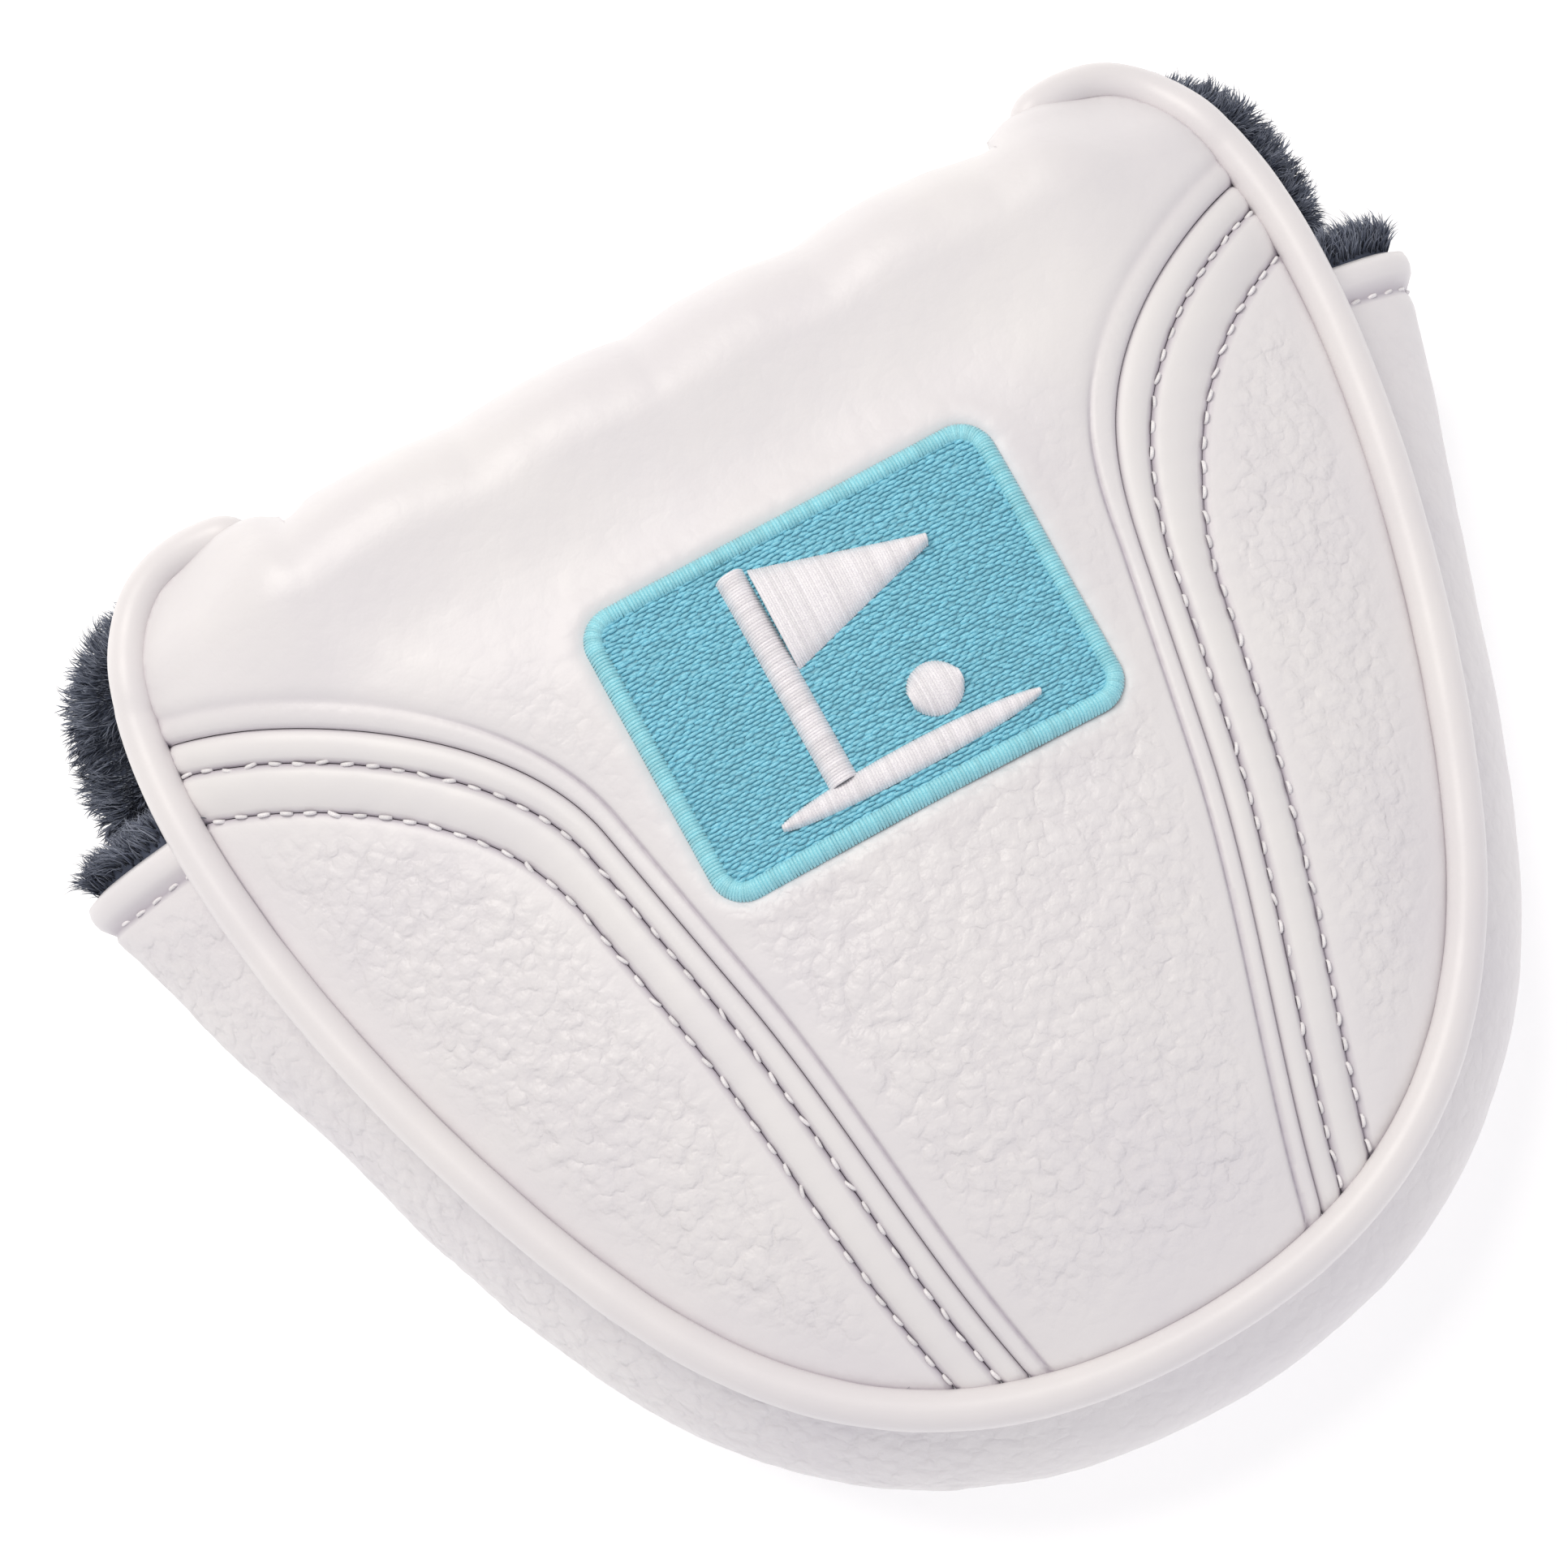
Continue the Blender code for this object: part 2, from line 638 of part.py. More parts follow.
def spine_layer(name, colour, layer, fold_angle, half, **finish):
    start = 2 * FOLD_ANGLE - fold_angle
    bend = [BEND_SHARE * k / 4 for k in range(5)]
    shares = bend + [0.5] + [1.0 - share for share in reversed(bend)]

    def build(mesh):
        rings = []
        for x in (-half, -half / 3, half / 3, half):
            ring = [wrap_point(x, share, layer[0], start) for share in shares]
            ring += [wrap_point(x, share, layer[1], start) for share in reversed(shares)]
            rings.append(ring)
        add_rings(mesh, rings)

    solid(name, colour, build, **finish)


def spine():
    spine_layer("spine_leather", WHITE, LEATHER, LEATHER_ANGLE, SPINE_HALF)
    spine_layer("spine_foam", FOAM_GREY, FRONT_FOAM, FOAM_ANGLE, SPINE_HALF - 1.5, roughness=0.9)
    spine_layer("spine_lining", SLATE, FRONT_LINING, LINING_ANGLE, SPINE_HALF - 0.5, roughness=0.95)
    for name, side in (("left", -1), ("right", 1)):
        path = []
        for k in range(3):
            x = side * (SPINE_HALF + PIPING_OUT + SPINE_WELT_BOW * (k == 1))
            z = mix(UPPER_BEND_Z - 0.5, LOWER_BEND_Z + 0.5, k / 2)
            path.append(Vector((x, BEND_Y + BEND_RADIUS - 0.6, z)))
        piping(f"{name}_spine_welt", path, [Vector((side, 0.0, 0.0))] * 3)


def spine_embroidery():
    """A row of diamonds, joined at their corners, across the face of the spine."""
    middle_z = (UPPER_BEND_Z + LOWER_BEND_Z) / 2
    face_y = BEND_Y + BEND_RADIUS
    half_count = DIAMONDS
    edge = []
    for k in range(-half_count, half_count + 1):
        edge.append((k * DIAMOND_PITCH / 2, DIAMOND_HALF_HEIGHT if k % 2 == 0 else DIAMOND_NECK))

    def build(mesh):
        columns = []
        for x, reach in edge:
            columns.append([Vector((x, face_y + out, middle_z + z)) for out, z in (
                (GAP, -reach), (GAP, reach), (EMBROIDERY_PROUD, reach), (EMBROIDERY_PROUD, -reach))])
        add_rings(mesh, columns)

    solid("spine_embroidery", PALE_BLUE, build, roughness=0.5)


# ---------------------------------------------------------------- closure flap

def flap_half(ear, inset, steps):
    """Right half of the flap's edge: the tongue, the ear and the neck."""
    top_y = FLAP_TOP_Y if ear == FLAP_EAR else LINING_TOP_Y
    segments = (
        ((0.0, FLAP_END_Y), (26.0, FLAP_END_Y), (44.0, 21.0), (53.0, 31.0)),
        ((53.0, 31.0), (58.0, 37.0), (56.0, 46.5), (63.0, 47.0)),
        ((63.0, 47.0), (ear - 3.0, 47.0), (ear, 50.0), (ear, 55.0)),
        ((ear, 55.0), (ear, top_y - 6.0), (ear - 5.0, top_y), (58.0, top_y)),
        ((58.0, top_y), (53.0, top_y), (49.0, 67.5), (45.4, 66.2)),
    )
    half = offset(trace(segments, steps), -inset, closed=False)
    half[0] = (0.0, FLAP_END_Y + inset)
    return half


def flap_outline(ear, inset, fold_angle):
    fold_y = BEND_Y + BEND_RADIUS * math.sin(fold_angle)
    edge_x = SPINE_HALF + GAP + 0.1
    half = flap_half(ear, inset, (7, 5, 5, 6, 3))
    half[-1] = (edge_x, half[-1][1])
    return mirrored(half + [(edge_x, fold_y), (0.001, fold_y)])


def flap():
    plate("flap_leather", WHITE, flap_outline(FLAP_EAR, 0.4, LEATHER_ANGLE), flap_height,
          LEATHER, -1)
    foam = plate("flap_foam", FOAM_GREY, flap_outline(FLAP_EAR, 1.0, FOAM_ANGLE), flap_height,
                 FLAP_FOAM, -1, roughness=0.9)
    magnet_pockets(foam, 2.0)
    magnets("flap", THIN_FOAM[0] + 0.05)
    plate("flap_lining", SLATE, flap_outline(LINING_EAR, 1.0, LINING_ANGLE), flap_height,
          THIN_LINING, -1, roughness=0.95)

    def depth(x, y):
        return max(0.8, PIPING_RADIUS - flap_height(x, y))

    seam_piping("flap_welt", flap_half(FLAP_EAR, 0.0, (9, 6, 5, 6, 3)), flap_height, depth, -1,
                FLAP_PIPING_END_X)


# ---------------------------------------------------------------- patch

def rounded_rectangle(width, height, corner, steps=4):
    """A rounded rectangle round the patch's middle, anticlockwise."""
    corners = []
    for quarter, (side_x, side_y) in enumerate(((1, -1), (1, 1), (-1, 1), (-1, -1))):
        centre_x = PATCH_X + side_x * (width / 2 - corner)
        centre_y = PATCH_Y + side_y * (height / 2 - corner)
        for k in range(steps + 1):
            angle = math.pi / 2 * (quarter - 1 + k / steps)
            corners.append((centre_x + corner * math.cos(angle), centre_y + corner * math.sin(angle)))
    points = []
    for i, (x, y) in enumerate(corners):
        points.append((x, y))
        if i % (steps + 1) == steps:
            next_x, next_y = corners[(i + 1) % len(corners)]
            points += [(mix(x, next_x, k / 5), mix(y, next_y, k / 5)) for k in range(1, 5)]
    return points


def on_patch(points):
    return [(x + PATCH_X, y + PATCH_Y) for x, y in points]


def flag_outline():
    """A pennant on a pole that stands on a curved strip of ground."""
    under = [(16.0 * math.cos(a), -13.0 + 1.6 * math.sin(a))
             for a in (math.pi * (1 + k / 8) for k in range(9))]
    over = [(16.0 * math.cos(a), -13.0 + 1.6 * math.sin(a))
            for a in (math.pi * k / 8 for k in range(1, 5))]
    flag = [(-6.0, -11.2), (-6.0, 1.4), (13.0, 7.0), (13.0, 8.4), (-6.0, 14.2), (-9.2, 14.2), (-9.2, -11.6)]
    return on_patch(under + over + flag + [(-14.0, -12.2)])


def ball_outline():
    angles = [math.tau * k / 14 for k in range(14)]
    return on_patch([(6.0 + 3.1 * math.cos(a), -7.4 + 3.1 * math.sin(a)) for a in angles])


def patch():
    inner = (PATCH_W - 2 * PATCH_BORDER, PATCH_H - 2 * PATCH_BORDER, PATCH_CORNER - PATCH_BORDER)
    base = rounded_rectangle(inner[0] - 2 * GAP, inner[1] - 2 * GAP, inner[2] - GAP)
    plate("patch_base", BLUE, base, front_height, PATCH_BASE, roughness=0.6)

    def border(mesh):
        add_band(mesh, rounded_rectangle(*inner), rounded_rectangle(PATCH_W, PATCH_H, PATCH_CORNER),
                 front_height, PATCH_RIM, across=1, closed=True)

    solid("patch_border", PALE_BLUE, border, roughness=0.5)

    plate("patch_flag", THREAD_WHITE, flag_outline(), front_height, MOTIF, roughness=0.5)
    plate("patch_ball", THREAD_WHITE, ball_outline(), front_height, MOTIF, roughness=0.5)


def main():
    for old in list(bpy.data.objects):
        bpy.data.objects.remove(old, do_unlink=True)
    centre_panel()
    for name, side in (("left", -1), ("right", 1)):
        side_panels(name, side)
    front_padding()
    front_welt()
    side_wall()
    rear()
    spine()
    spine_embroidery()
    flap()
    patch()


main()
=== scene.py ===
"""Looks of the putter head cover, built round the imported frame.

Plan coordinates are in millimetres on the cover's own centre line, as the solids were drawn;
a mesh is moved back by CENTRE_Y and scaled to metres when it is made.
"""
import math

import bpy
import numpy as np
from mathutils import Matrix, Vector
from mathutils.geometry import delaunay_2d_cdt


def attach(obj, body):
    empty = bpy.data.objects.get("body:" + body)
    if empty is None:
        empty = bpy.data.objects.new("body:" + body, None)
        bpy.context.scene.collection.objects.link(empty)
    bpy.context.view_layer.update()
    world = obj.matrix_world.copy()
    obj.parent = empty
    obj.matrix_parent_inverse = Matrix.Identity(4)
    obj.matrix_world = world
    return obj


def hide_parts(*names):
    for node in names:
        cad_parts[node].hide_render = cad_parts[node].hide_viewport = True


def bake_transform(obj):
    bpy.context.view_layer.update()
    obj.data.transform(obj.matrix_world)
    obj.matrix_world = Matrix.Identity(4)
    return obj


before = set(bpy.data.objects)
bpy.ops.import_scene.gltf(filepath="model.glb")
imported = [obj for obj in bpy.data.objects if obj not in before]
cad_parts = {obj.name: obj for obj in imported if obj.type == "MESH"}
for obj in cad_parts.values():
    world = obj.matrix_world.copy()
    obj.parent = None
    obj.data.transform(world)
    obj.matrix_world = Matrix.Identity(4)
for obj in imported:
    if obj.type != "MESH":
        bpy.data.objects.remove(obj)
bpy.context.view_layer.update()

MM = 0.001
CENTRE_Y = 2.4
SEED = 4173

# ---------------------------------------------------------------- the cover's shape

FRONT_SEAM = (
    ((0.0, -58.3), (24.0, -58.3), (39.4, -48.5), (50.0, -29.2)),
    ((50.0, -29.2), (58.6, -13.4), (68.9, 18.0), (69.7, 42.0)),
    ((69.7, 42.0), (70.2, 57.5), (66.4, 69.3), (58.6, 69.3)),
    ((58.6, 69.3), (53.0, 69.3), (49.0, 68.3), (45.4, 66.6)),
)
TIP_Y = -58.3
BEND_Y = 57.0
BEND_R = 10.0
UPPER_Z, LOWER_Z = 36.0, 10.0
SPINE_HALF = 45.0
MIDDLE_HALF = 45.36           # the strip that rolls over the spine
HALF_TURN_Y = BEND_Y + BEND_R * math.sin(math.pi / 4)
BEND_END_Q = HALF_TURN_Y + BEND_R * math.pi / 4
MID_SPINE_Q = BEND_END_Q + 13.0
SPLIT_Q = BEND_Y + BEND_R * math.sin(math.radians(24.0))
MOUTH_Y = 44.0
FRONT_EDGE_Z = 37.0
CROWN, CROWN_AT_BEND, CROWN_FULL_Y = 11.0, 9.0, 5.0
BEND_FLAT_SHARE = 0.69        # share of the width that is level at the bend
EAR_SLOPE = 0.6
REAR_EDGE_LIFT, REAR_FLAT_SHARE = 4.5, 0.6
STEP, STEP_START_Y, STEP_END_Y = 6.4, -8.0, 14.0
FLAP_CURL, CURL_FROM_X, CURL_SPAN, CURL_FULL_Y = 14.0, 48.0, 30.0, 55.0
FLAP_EAR, FLAP_TOP_Y = 71.0, 68.0
PLUSH_EAR, PLUSH_TOP_Y = 82.5, 77.5
WALL_TOP_Z, WALL_OUT, WALL_BULGE = 33.9, 1.9, 8.8
HEM_FLARE, FLARE_FROM_Y = 5.5, 5.0
HEM_WIDTH, HEM_ROW = 4.4, 4.2   # the side wall's hems, and stitches from the flap's and rear's edge
LEATHER_THICKNESS = 1.1
FRONT_LINING_IN, THIN_LINING_IN = 6.6, 5.2   # depths of the plush's face
EDGE_RINGS = (0.3, 0.75, 1.4)   # rows of points beside a panel's edge
PATCH_X, PATCH_Y, PATCH_W, PATCH_H = 2.2, 21.4, 50.4, 36.2


def ease(v, a, b):
    t = np.clip((np.asarray(v, float) - a) / (b - a), 0.0, 1.0)
    return t * t * (3.0 - 2.0 * t)


def mix(a, b, t):
    return a + (b - a) * t


def bezier(segment, steps):
    t = np.linspace(0.0, 1.0, steps + 1)[:, None]
    p = np.array(segment, float)
    return (1 - t) ** 3 * p[0] + 3 * t * (1 - t) ** 2 * p[1] + 3 * t * t * (1 - t) * p[2] + t ** 3 * p[3]


def trace(segments, steps=80):
    runs = [bezier(s, steps) for s in segments]
    return np.vstack([runs[0]] + [r[1:] for r in runs[1:]])


def resample(points, pitch):
    """The same curve with its points about pitch apart, in 2-D or 3-D."""
    points = np.asarray(points, float)
    step = np.linalg.norm(np.diff(points, axis=0), axis=1)
    run = np.concatenate([[0.0], np.cumsum(step)])
    count = max(2, int(round(run[-1] / pitch)) + 1)
    at = np.linspace(0.0, run[-1], count)
    return np.stack([np.interp(at, run, points[:, k]) for k in range(points.shape[1])], 1)


def outward(points):
    """Unit vectors to the right of a plan curve at its points."""
    run = np.gradient(points, axis=0)
    run /= np.linalg.norm(run, axis=1)[:, None] + 1e-12
    return np.stack([run[:, 1], -run[:, 0]], 1)


SEAM = trace(FRONT_SEAM[:3])
SEAM_HALF = trace(FRONT_SEAM)


def half_width(y):
    y = np.clip(y, TIP_Y + 0.01, 68.8)
    return np.maximum(0.5, np.interp(y, SEAM[:, 1], SEAM[:, 0]))


def crowned(share, flat):
    return 1.0 - (np.maximum(0.0, np.clip(share, 0.0, 1.0) - flat) / (1.0 - flat)) ** 2


def roll_drop(y, limit):
    run = np.maximum(0.0, y - BEND_Y)
    corner = BEND_R * limit / math.hypot(1.0, limit)
    circle = BEND_R - np.sqrt(BEND_R ** 2 - np.minimum(run, corner) ** 2)
    return circle + np.maximum(0.0, run - corner) * limit


def bend_drop(x, y):
    ear = ease(np.abs(x), SPINE_HALF + 1, SPINE_HALF + 8)
    return mix(roll_drop(y, 1.0), roll_drop(y, EAR_SLOPE), ear)


def front_height(x, y):
    level_y = np.minimum(y, BEND_Y)
    flat = BEND_FLAT_SHARE * ease(level_y, 15.0, BEND_Y)
    across = crowned(np.abs(x) / half_width(level_y), flat)
    reach = np.maximum(0.0, CROWN_FULL_Y - level_y) / (CROWN_FULL_Y - TIP_Y)
    along = 1.0 - np.minimum(1.0, reach) ** 2.5
    top = mix(CROWN, CROWN_AT_BEND, ease(level_y, 20.0, BEND_Y))
    return FRONT_EDGE_Z + top * along * across - bend_drop(x, y)


def rear_height(x, y):
    across = crowned(np.abs(x) / half_width(y), REAR_FLAT_SHARE)
    along = crowned(np.maximum(0.0, y / TIP_Y), REAR_FLAT_SHARE)
    return REAR_EDGE_LIFT * (1.0 - across * along) + STEP * ease(y, STEP_START_Y, STEP_END_Y)


def flap_height(x, y):
    out = np.maximum(0.0, np.abs(x) - CURL_FROM_X) / CURL_SPAN
    return FLAP_CURL * out * out * ease(y, MOUTH_Y, CURL_FULL_Y) + bend_drop(x, y)


def rolled(height, x, q, middle, centre_z, up):
    """Points of a sheet that lies on a height and, in its middle strip, rolls over the spine."""
    x, q = np.asarray(x, float), np.asarray(q, float)
    flat = np.stack([x, q, height(x, q)], -1)
    run = q - BEND_Y
    angle = np.arcsin(np.clip(run / BEND_R, 0.0, math.sin(math.pi / 4)))
    angle = angle + np.maximum(0.0, q - HALF_TURN_Y) / BEND_R
    angle = np.minimum(angle, math.pi / 2)
    past = np.maximum(0.0, q - BEND_END_Q)
    bent = np.stack([x, BEND_Y + BEND_R * np.sin(angle),
                     centre_z + up * (BEND_R * np.cos(angle) - past)], -1)
    return np.where((middle & (run > 0.0))[..., None], bent, flat)


def front_sheet(x, q, middle):
    return rolled(front_height, x, q, middle, UPPER_Z, 1.0)


def flap_sheet(x, q, middle):
    return rolled(flap_height, x, q, middle, LOWER_Z, -1.0)


def rear_sheet(x, q, middle):
    return np.stack([x, q, rear_height(x, q)], -1)


def place(sheet, points, facing=1.0):
    """Positions and outer normals of a sheet at plan points."""
    x, q = points[:, 0], points[:, 1]
    middle = np.abs(x) <= MIDDLE_HALF + 0.01
    h = 0.15
    across = sheet(x + h, q, middle) - sheet(x - h, q, middle)
    along = sheet(x, q + h, middle) - sheet(x, q - h, middle)
    normal = np.cross(across, along)
    normal /= np.linalg.norm(normal, axis=1)[:, None]
    return sheet(x, q, middle), normal * facing


def skew(y):
    """The front's seams sit a little to the right of the outline's middle."""
    return 3.0 * ease(y, -52.0, -5.0) * (1.0 - ease(y, 18.0, 46.0))


def front_line(share):
    """One of the seams across the right of the front panel, from the round end to the side."""
    end_x, start_y = mix(16.0, 26.1, share), mix(55.2, 42.3, share)
    reach = mix(20.0, 14.0, share)
    knee = (mix(31.9, 39.6, share), mix(20.0, 10.0, share))
    slope, arrival = (0.196, 0.98), (0.915, 0.40)
    lower = SEAM[SEAM[:, 1] < 0]
    low = (end_x, float(np.interp(end_x, lower[:, 0], lower[:, 1])))
    top = (float(half_width(start_y)), start_y)
    run = [tuple(knee[k] - slope[k] * length for k in (0, 1)) for length in (44.0, 22.0)]
    rise = tuple(knee[k] + slope[k] * reach for k in (0, 1))
    arrive = tuple(top[k] - arrival[k] * 18.0 for k in (0, 1))
    line = np.vstack([bezier((low, *run, knee), 90), bezier((knee, rise, arrive, top), 90)[1:]])
    return line


LINE = {1: front_line(1.0), 2: front_line(0.53), 3: front_line(0.23), 4: front_line(0.0)}

# ---------------------------------------------------------------- distances and noise


def distance(points, line, chunk=6000):
    """From plan points to a polyline."""
    a, b = line[:-1], line[1:]
    d = b - a
    size = np.maximum((d * d).sum(1), 1e-12)
    found = np.empty(len(points))
    for i in range(0, len(points), chunk):
        p = points[i:i + chunk, None, :] - a[None]
        t = np.clip((p * d[None]).sum(2) / size[None], 0.0, 1.0)
        found[i:i + chunk] = np.sqrt((((p - d[None] * t[..., None])) ** 2).sum(2).min(1))
    return found


TABLE = np.random.RandomState(SEED).rand(256, 256)
JITTER = np.random.RandomState(SEED + 1).rand(256, 256, 2)


def noise(x, y, size, seed=0):
    """Smooth value noise, -1 to 1."""
    x, y = np.asarray(x, float) / size + seed * 17.3, np.asarray(y, float) / size + seed * 9.1
    ix, iy = np.floor(x).astype(int), np.floor(y).astype(int)
    fx, fy = x - ix, y - iy
    fx, fy = fx * fx * (3 - 2 * fx), fy * fy * (3 - 2 * fy)

    def at(i, j):
        return TABLE[(ix + i) % 256, (iy + j) % 256]

    low = mix(at(0, 0), at(1, 0), fx)
    high = mix(at(0, 1), at(1, 1), fx)
    return mix(low, high, fy) * 2.0 - 1.0


def cells(x, y, size, seed=0):
    """Distance to the nearest cell border over the cell size, 0 on the border."""
    x, y = np.asarray(x, float) / size + seed * 5.7, np.asarray(y, float) / size + seed * 3.3
    ix, iy = np.floor(x).astype(int), np.floor(y).astype(int)
    near = np.full(x.shape, 9.0)
    second = np.full(x.shape, 9.0)
    for i in (-1, 0, 1):
        for j in (-1, 0, 1):
            jitter = JITTER[(ix + i) % 256, (iy + j) % 256]
            d = np.hypot(ix + i + jitter[..., 0] - x, iy + j + jitter[..., 1] - y)
            second = np.minimum(second, np.maximum(near, d))
            near = np.minimum(near, d)
    return second - near


def pebbles(x, y, size, seed=0):
    """Leather grain: soft rounded cells, 0 on their tops and about -1 in the creases between."""
    wx = x + size * (0.34 * noise(x, y, size * 1.3, seed + 3) + 0.16 * noise(x, y, size * 0.5, seed + 6))
    wy = y + size * (0.34 * noise(x, y, size * 1.3, seed + 4) + 0.16 * noise(x, y, size * 0.5, seed + 7))
    wx = wx + 0.3 * wy
    big = np.exp(-cells(wx, wy, size, seed) / 0.15)
    small = np.exp(-cells(wx, wy, size * 0.52, seed + 1) / 0.20)
    deep = 0.62 + 0.55 * noise(x, y, size * 1.9, seed + 5)
    return -np.clip(big * deep + 0.42 * small * (1.3 - deep), 0.0, 1.2)


# ---------------------------------------------------------------- meshes


def to_scene(points):
    return (np.asarray(points, float) - (0.0, CENTRE_Y, 0.0)) * MM


def new_object(name, points, faces, material, normals=None, **attributes):
    """A mesh object from millimetre points, with its rest place and extra values as attributes."""
    data = bpy.data.meshes.new(name)
    data.from_pydata(to_scene(points).tolist(), [], [tuple(f) for f in faces])
    data.validate()
    data.shade_smooth()
    rest = data.attributes.new("rest", "FLOAT_VECTOR", "POINT")
    rest.data.foreach_set("vector", np.asarray(points, np.float32).ravel())
    for key, value in attributes.items():
        layer = data.attributes.new(key, "FLOAT", "POINT")
        layer.data.foreach_set("value", np.asarray(value, np.float32))
    if normals is not None:
        data.normals_split_custom_set_from_vertices(normals.tolist())
    data.materials.append(material)
    made = bpy.data.objects.new(name, data)
    bpy.context.scene.collection.objects.link(made)
    return made


def inside(outline, points):
    x, y = points[:, 0], points[:, 1]
    hit = np.zeros(len(points), bool)
    for (ax, ay), (bx, by) in zip(outline, np.roll(outline, -1, axis=0)):
        if ay != by:
            hit ^= ((ay > y) != (by > y)) & (x < (bx - ax) * (y - ay) / (by - ay) + ax)
    return hit


def clean_loop(points, least=0.12):
    kept = [points[0]]
    for p in points[1:]:
        if np.linalg.norm(p - kept[-1]) > least:
            kept.append(p)
    if np.linalg.norm(kept[0] - kept[-1]) <= least:
        kept.pop()
    return np.array(kept)


CREASE_ROWS = (-0.75, -0.4, -0.18, 0.0, 0.18, 0.4, 0.75)


def fill(outline, pitch, rings=EDGE_RINGS, creases=()):
    """Triangles inside a plan outline: rings beside its edge, rows along creases, a lattice."""
    outline = clean_loop(outline)
    closed = np.vstack([outline, outline[:1]])
    extra = []
    side = outward(np.vstack([outline[-1:], closed, outline[1:2]]))[1:-2]
    for inset in rings:
        ring = outline - side * inset
        extra.append(ring[(distance(ring, closed) > inset * 0.93) & inside(outline, ring)])
    low, high = outline.min(0), outline.max(0)
    rows = np.arange(low[1], high[1], pitch * 0.866)
    lattice = []
    for i, y in enumerate(rows):
        xs = np.arange(low[0] + (i % 2) * pitch / 2, high[0], pitch)
        lattice.append(np.stack([xs, np.full(len(xs), y)], 1))
    lattice = np.vstack(lattice)
    lattice = lattice[inside(outline, lattice)]
    room = (max(rings) if rings else 0.0) + pitch * 0.55
    lattice = lattice[distance(lattice, closed) > room]
    for crease in creases:
        lattice = lattice[distance(lattice, crease) > CREASE_ROWS[-1] + 0.3]
        for out in CREASE_ROWS:
            row = crease + out * outward(crease)
            extra.append(row[inside(outline, row) & (distance(row, closed) > max(rings) + 0.3)])
    points = np.vstack([outline] + extra + [lattice])
    found = delaunay_2d_cdt([Vector(p) for p in points], [], [list(range(len(outline)))], 1, 1e-6)
    return np.array([tuple(v) for v in found[0]]), np.array(found[2]), len(outline)


def slab(sheet, outline, pitch, relief, facing=1.0, thickness=LEATHER_THICKNESS, rings=EDGE_RINGS,
         creases=(), edge_thickness=None):
    """A closed leather panel: a fine outer skin with its relief, and a plain inner skin."""
    plan, faces, edge = fill(outline, pitch, rings, creases)
    base, normal = place(sheet, plan, facing)
    height, extra = relief(plan)
    outer = base + normal * height[:, None]
    inner_plan, inner_faces, _ = fill(outline, 6.0, ())
    under, under_normal = place(sheet, inner_plan, facing)
    rim = height[:edge].min()
    thick = np.full(len(under), max(thickness, 0.35 - rim))
    if edge_thickness is not None:
        thick[:edge] = edge_thickness
    inner = under - under_normal * thick[:, None]
    points = np.vstack([outer, inner])
    if facing < 0:
        faces = faces[:, ::-1]
        inner_faces = inner_faces[:, ::-1]
    all_faces = [tuple(f) for f in faces]
    shift = len(outer)
    all_faces += [tuple(f + shift) for f in inner_faces[:, ::-1]]
    for i in range(edge):
        j = (i + 1) % edge
        quad = (j, i, i + shift, j + shift)
        all_faces.append(quad if facing > 0 else quad[::-1])
    values = {k: np.concatenate([v, np.zeros(len(inner))]) for k, v in extra.items()}
    return points, all_faces, values, plan


def mirror_outline(half):
    """A right half, from the bottom up, made whole and anticlockwise."""
    left = half[::-1].copy()
    left[:, 0] *= -1
    return clean_loop(np.vstack([half, left]))


def tube(path, radius, sections=18, flat=None):
    """Rings round a 3-D path with capped, rounded ends."""
    path = np.asarray(path, float)
    run = np.gradient(path, axis=0)
    run /= np.linalg.norm(run, axis=1)[:, None]
    up = np.array([0.0, 0.0, 1.0]) if flat is None else np.array(flat, float)
    side = np.cross(run, up)
    weak = np.linalg.norm(side, axis=1) < 1e-3
    side[weak] = (1.0, 0.0, 0.0)
    side /= np.linalg.norm(side, axis=1)[:, None]
    top = np.cross(side, run)
    radius = np.broadcast_to(np.asarray(radius, float), (len(path),)).copy()
    turn = np.arange(sections) * math.tau / sections
    rings = (path[:, None] + radius[:, None, None]
             * (side[:, None] * np.cos(turn)[None, :, None] + top[:, None] * np.sin(turn)[None, :, None]))
    caps = [path[0] - run[0] * radius[0] * 0.5, path[-1] + run[-1] * radius[-1] * 0.5]
    points = np.vstack([rings.reshape(-1, 3), caps])
    faces = []
    n = len(path)
    for i in range(n - 1):
        for k in range(sections):
            m = (k + 1) % sections
            a, b = i * sections, (i + 1) * sections
            faces.append((a + k, a + m, b + m, b + k))
    for k in range(sections):
        m = (k + 1) % sections
        faces.append((m, k, n * sections))
        faces.append(((n - 1) * sections + k, (n - 1) * sections + m, n * sections + 1))
    return points, faces


def merged(parts):
    points, faces, shift = [], [], 0
    for p, f in parts:
        points.append(p)
        faces += [tuple(i + shift for i in face) for face in f]
        shift += len(p)
    return np.vstack(points), faces


# ---------------------------------------------------------------- materials


def node(tree, kind, inputs=None, **settings):
    made = tree.nodes.new(kind)
    for key, value in settings.items():
        setattr(made, key, value)
    for key, value in (inputs or {}).items():
        socket = made.inputs[key]
        if isinstance(value, bpy.types.NodeSocket):
            tree.links.new(value, socket)
        else:
            socket.default_value = value
    return made


def shader(name, **values):
    """A new material with its tree and Principled shader, and constants set on its sockets."""
    material = bpy.data.materials.new(name)
    material.use_nodes = True
    tree = material.node_tree
    surface = tree.nodes["Principled BSDF"]
    for key, value in values.items():
        surface.inputs[key.replace("_", " ")].default_value = value
    return material, tree, surface


def attribute(tree, name):
    return node(tree, "ShaderNodeAttribute", attribute_name=name)


